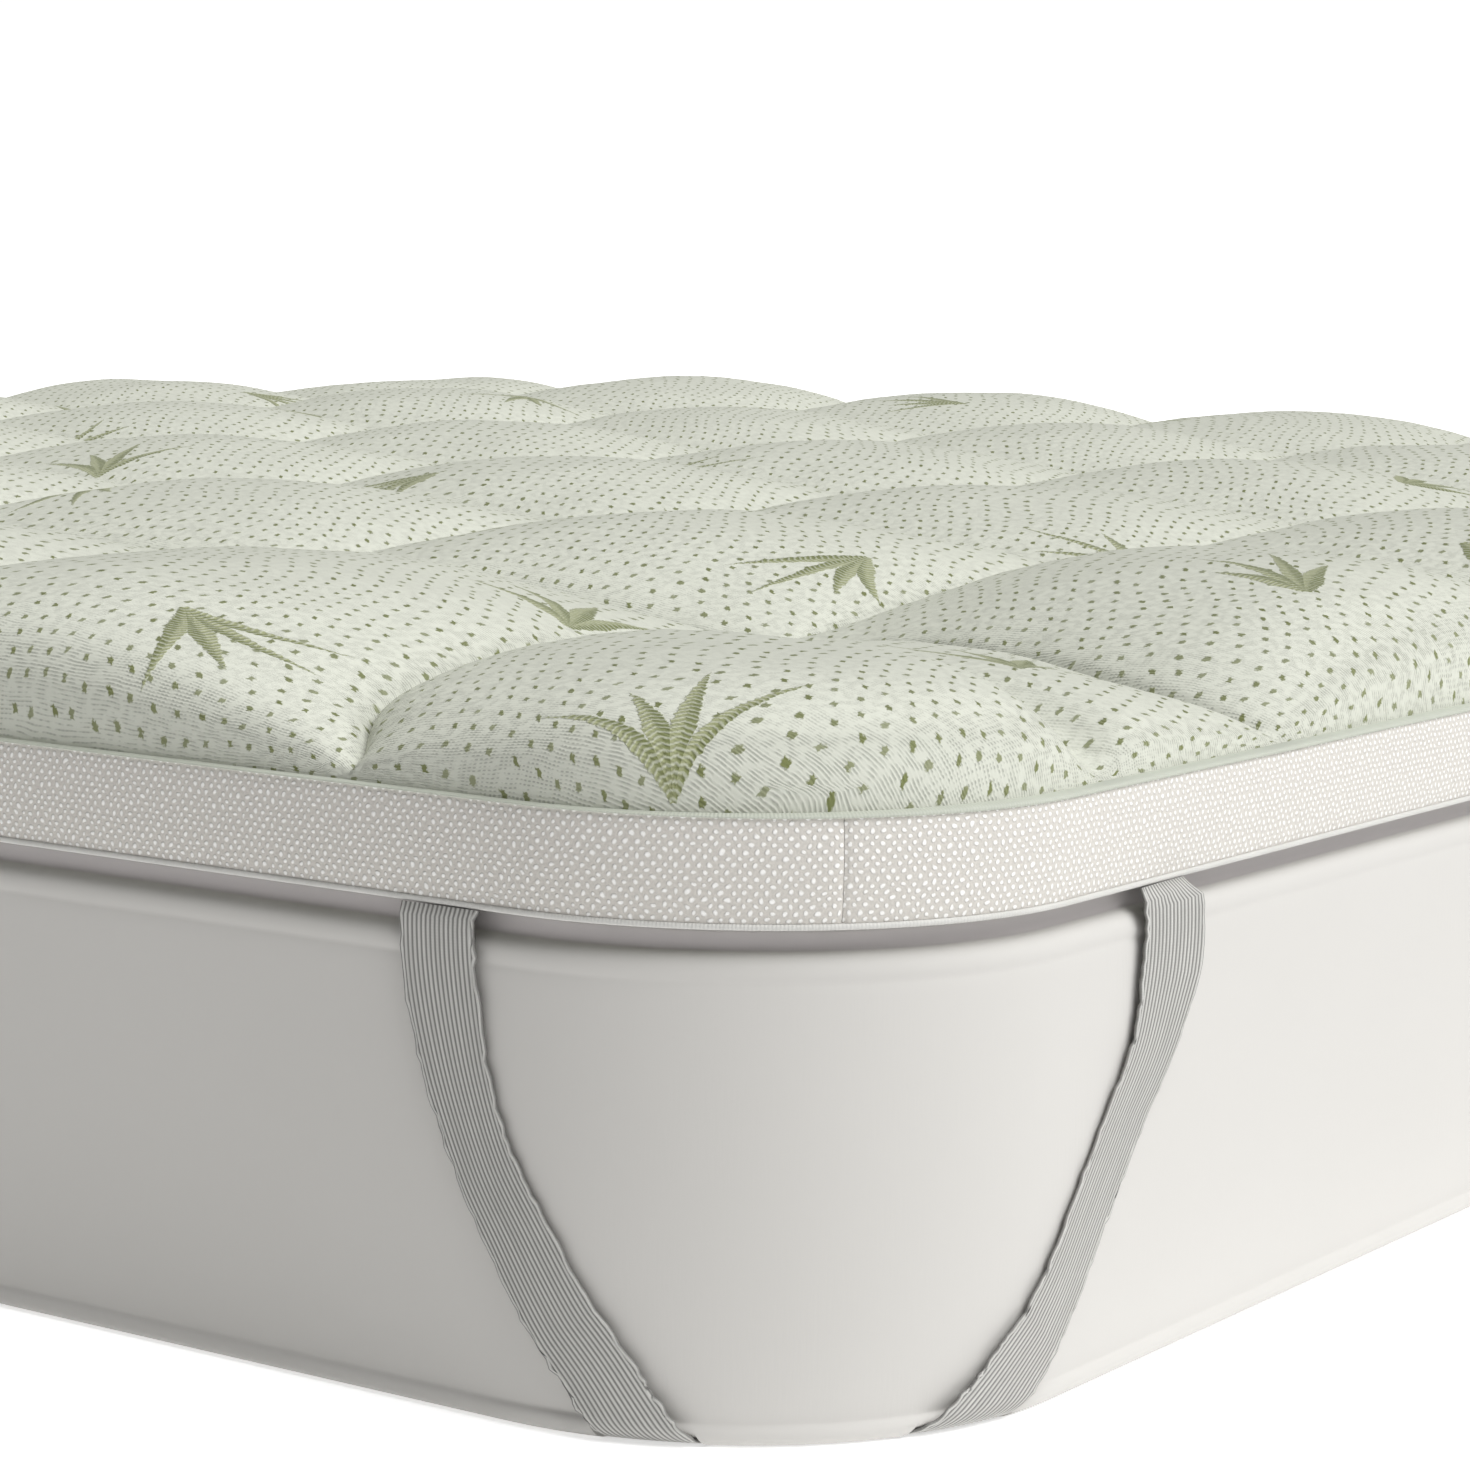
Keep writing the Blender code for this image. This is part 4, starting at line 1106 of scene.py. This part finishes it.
class TOPPER_OT_straps(bpy.types.Operator):
    """Build the four ribbed elastic straps"""

    bl_idname = "topper.straps"
    bl_label = "Corner straps"

    def execute(self, context):
        sizes, colours = context.scene.topper_sizes, context.scene.topper_colours
        plan = Plan(sizes)
        elastic = ribbed_elastic(colours)
        for corner, flip_x, flip_y in CORNERS:
            builder = strap_grid(plan, sizes, 2 * STRAP_RIBS, 0.0, True)
            mirror_corner(builder, flip_x, flip_y)
            strap = add_piece("elastic_" + corner, builder, elastic, "corner_strap", "strap_" + corner)
            shell = strap.modifiers.new("thickness", "SOLIDIFY")
            shell.thickness, shell.offset = sizes.strap_thickness - RIB_HEIGHT, 0.0
        return {"FINISHED"}


class TOPPER_OT_stage(bpy.types.Operator):
    """Build the plain pale floor, the soft studio light and the camera"""

    bl_idname = "topper.stage"
    bl_label = "Stage"

    def execute(self, context):
        scene, colours = context.scene, context.scene.topper_colours
        builder = bmesh.new()
        bmesh.ops.create_grid(builder, x_segments=1, y_segments=1, size=FLOOR_SIZE)
        mesh = bpy.data.meshes.new("floor")
        builder.to_mesh(mesh)
        builder.free()
        mesh.materials.append(studio_floor(colours))
        floor = bpy.data.objects.new("floor", mesh)
        floor.location.z = -FLOOR_DROP
        scene.collection.objects.link(floor)

        world = bpy.data.worlds.new("studio")
        world.use_nodes = True
        world.node_tree.nodes.clear()
        add = partial(add_node, world.node_tree)
        glow = add("ShaderNodeBackground", (1.0, 1.0, 1.0, 1.0), WORLD_GLOW)
        backdrop = add("ShaderNodeBackground", (1.0, 1.0, 1.0, 1.0), WORLD_BACKDROP)
        seen = add("ShaderNodeLightPath", output="Is Camera Ray")
        add("ShaderNodeOutputWorld", add("ShaderNodeMixShader", seen, glow, backdrop))
        scene.world = world

        softbox = bpy.data.objects.new("softbox", bpy.data.lights.new("softbox", "SUN"))
        softbox.data.energy = SOFTBOX_POWER
        softbox.data.angle = math.radians(SOFTBOX_DISC)
        softbox.rotation_euler = Vector(SOFTBOX_AIM).to_track_quat("-Z", "Y").to_euler()
        scene.collection.objects.link(softbox)

        camera = bpy.data.objects.new("camera", bpy.data.cameras.new("camera"))
        camera.data.sensor_fit = "HORIZONTAL"
        camera.data.sensor_width = 36.0
        camera.data.lens = CAMERA_LENS
        camera.data.clip_end = 200.0
        camera.location = Vector(CAMERA_PLACE) + Vector((0.0, 0.0, BORDER_TOP))
        camera.rotation_euler = [math.radians(angle) for angle in CAMERA_TURN]
        scene.collection.objects.link(camera)
        scene.camera = camera
        scene.view_settings.view_transform = "Standard"
        return {"FINISHED"}


class TOPPER_PT_pieces(bpy.types.Panel):
    """Sizes, colours and pieces of the topper"""

    bl_label = "Mattress topper"
    bl_idname = "TOPPER_PT_pieces"
    bl_space_type = "VIEW_3D"
    bl_region_type = "UI"
    bl_category = "Topper"

    def draw(self, context):
        layout = self.layout
        for group in (context.scene.topper_sizes, context.scene.topper_colours):
            column = layout.column(align=True)
            for name in group.__annotations__:
                column.prop(group, name)
        for operator in OPERATORS:
            layout.operator(operator.bl_idname)


OPERATORS = (TOPPER_OT_mattress, TOPPER_OT_quilted_body, TOPPER_OT_border, TOPPER_OT_tapes, TOPPER_OT_straps,
             TOPPER_OT_stage)
CLASSES = (TopperSizes, TopperColours, *OPERATORS, TOPPER_PT_pieces)


def register():
    """Registers the classes and adds the sizes and colours to each scene."""
    for cls in CLASSES:
        bpy.utils.register_class(cls)
    bpy.types.Scene.topper_sizes = bpy.props.PointerProperty(type=TopperSizes)
    bpy.types.Scene.topper_colours = bpy.props.PointerProperty(type=TopperColours)


def unregister():
    """Removes what register added."""
    del bpy.types.Scene.topper_colours
    del bpy.types.Scene.topper_sizes
    for cls in reversed(CLASSES):
        bpy.utils.unregister_class(cls)


def main():
    """Builds every piece and the stage."""
    register()
    bpy.ops.topper.mattress()
    bpy.ops.topper.quilted_body()
    bpy.ops.topper.border()
    bpy.ops.topper.tapes()
    bpy.ops.topper.straps()
    bpy.ops.topper.stage()


if __name__ == "__main__":
    main()
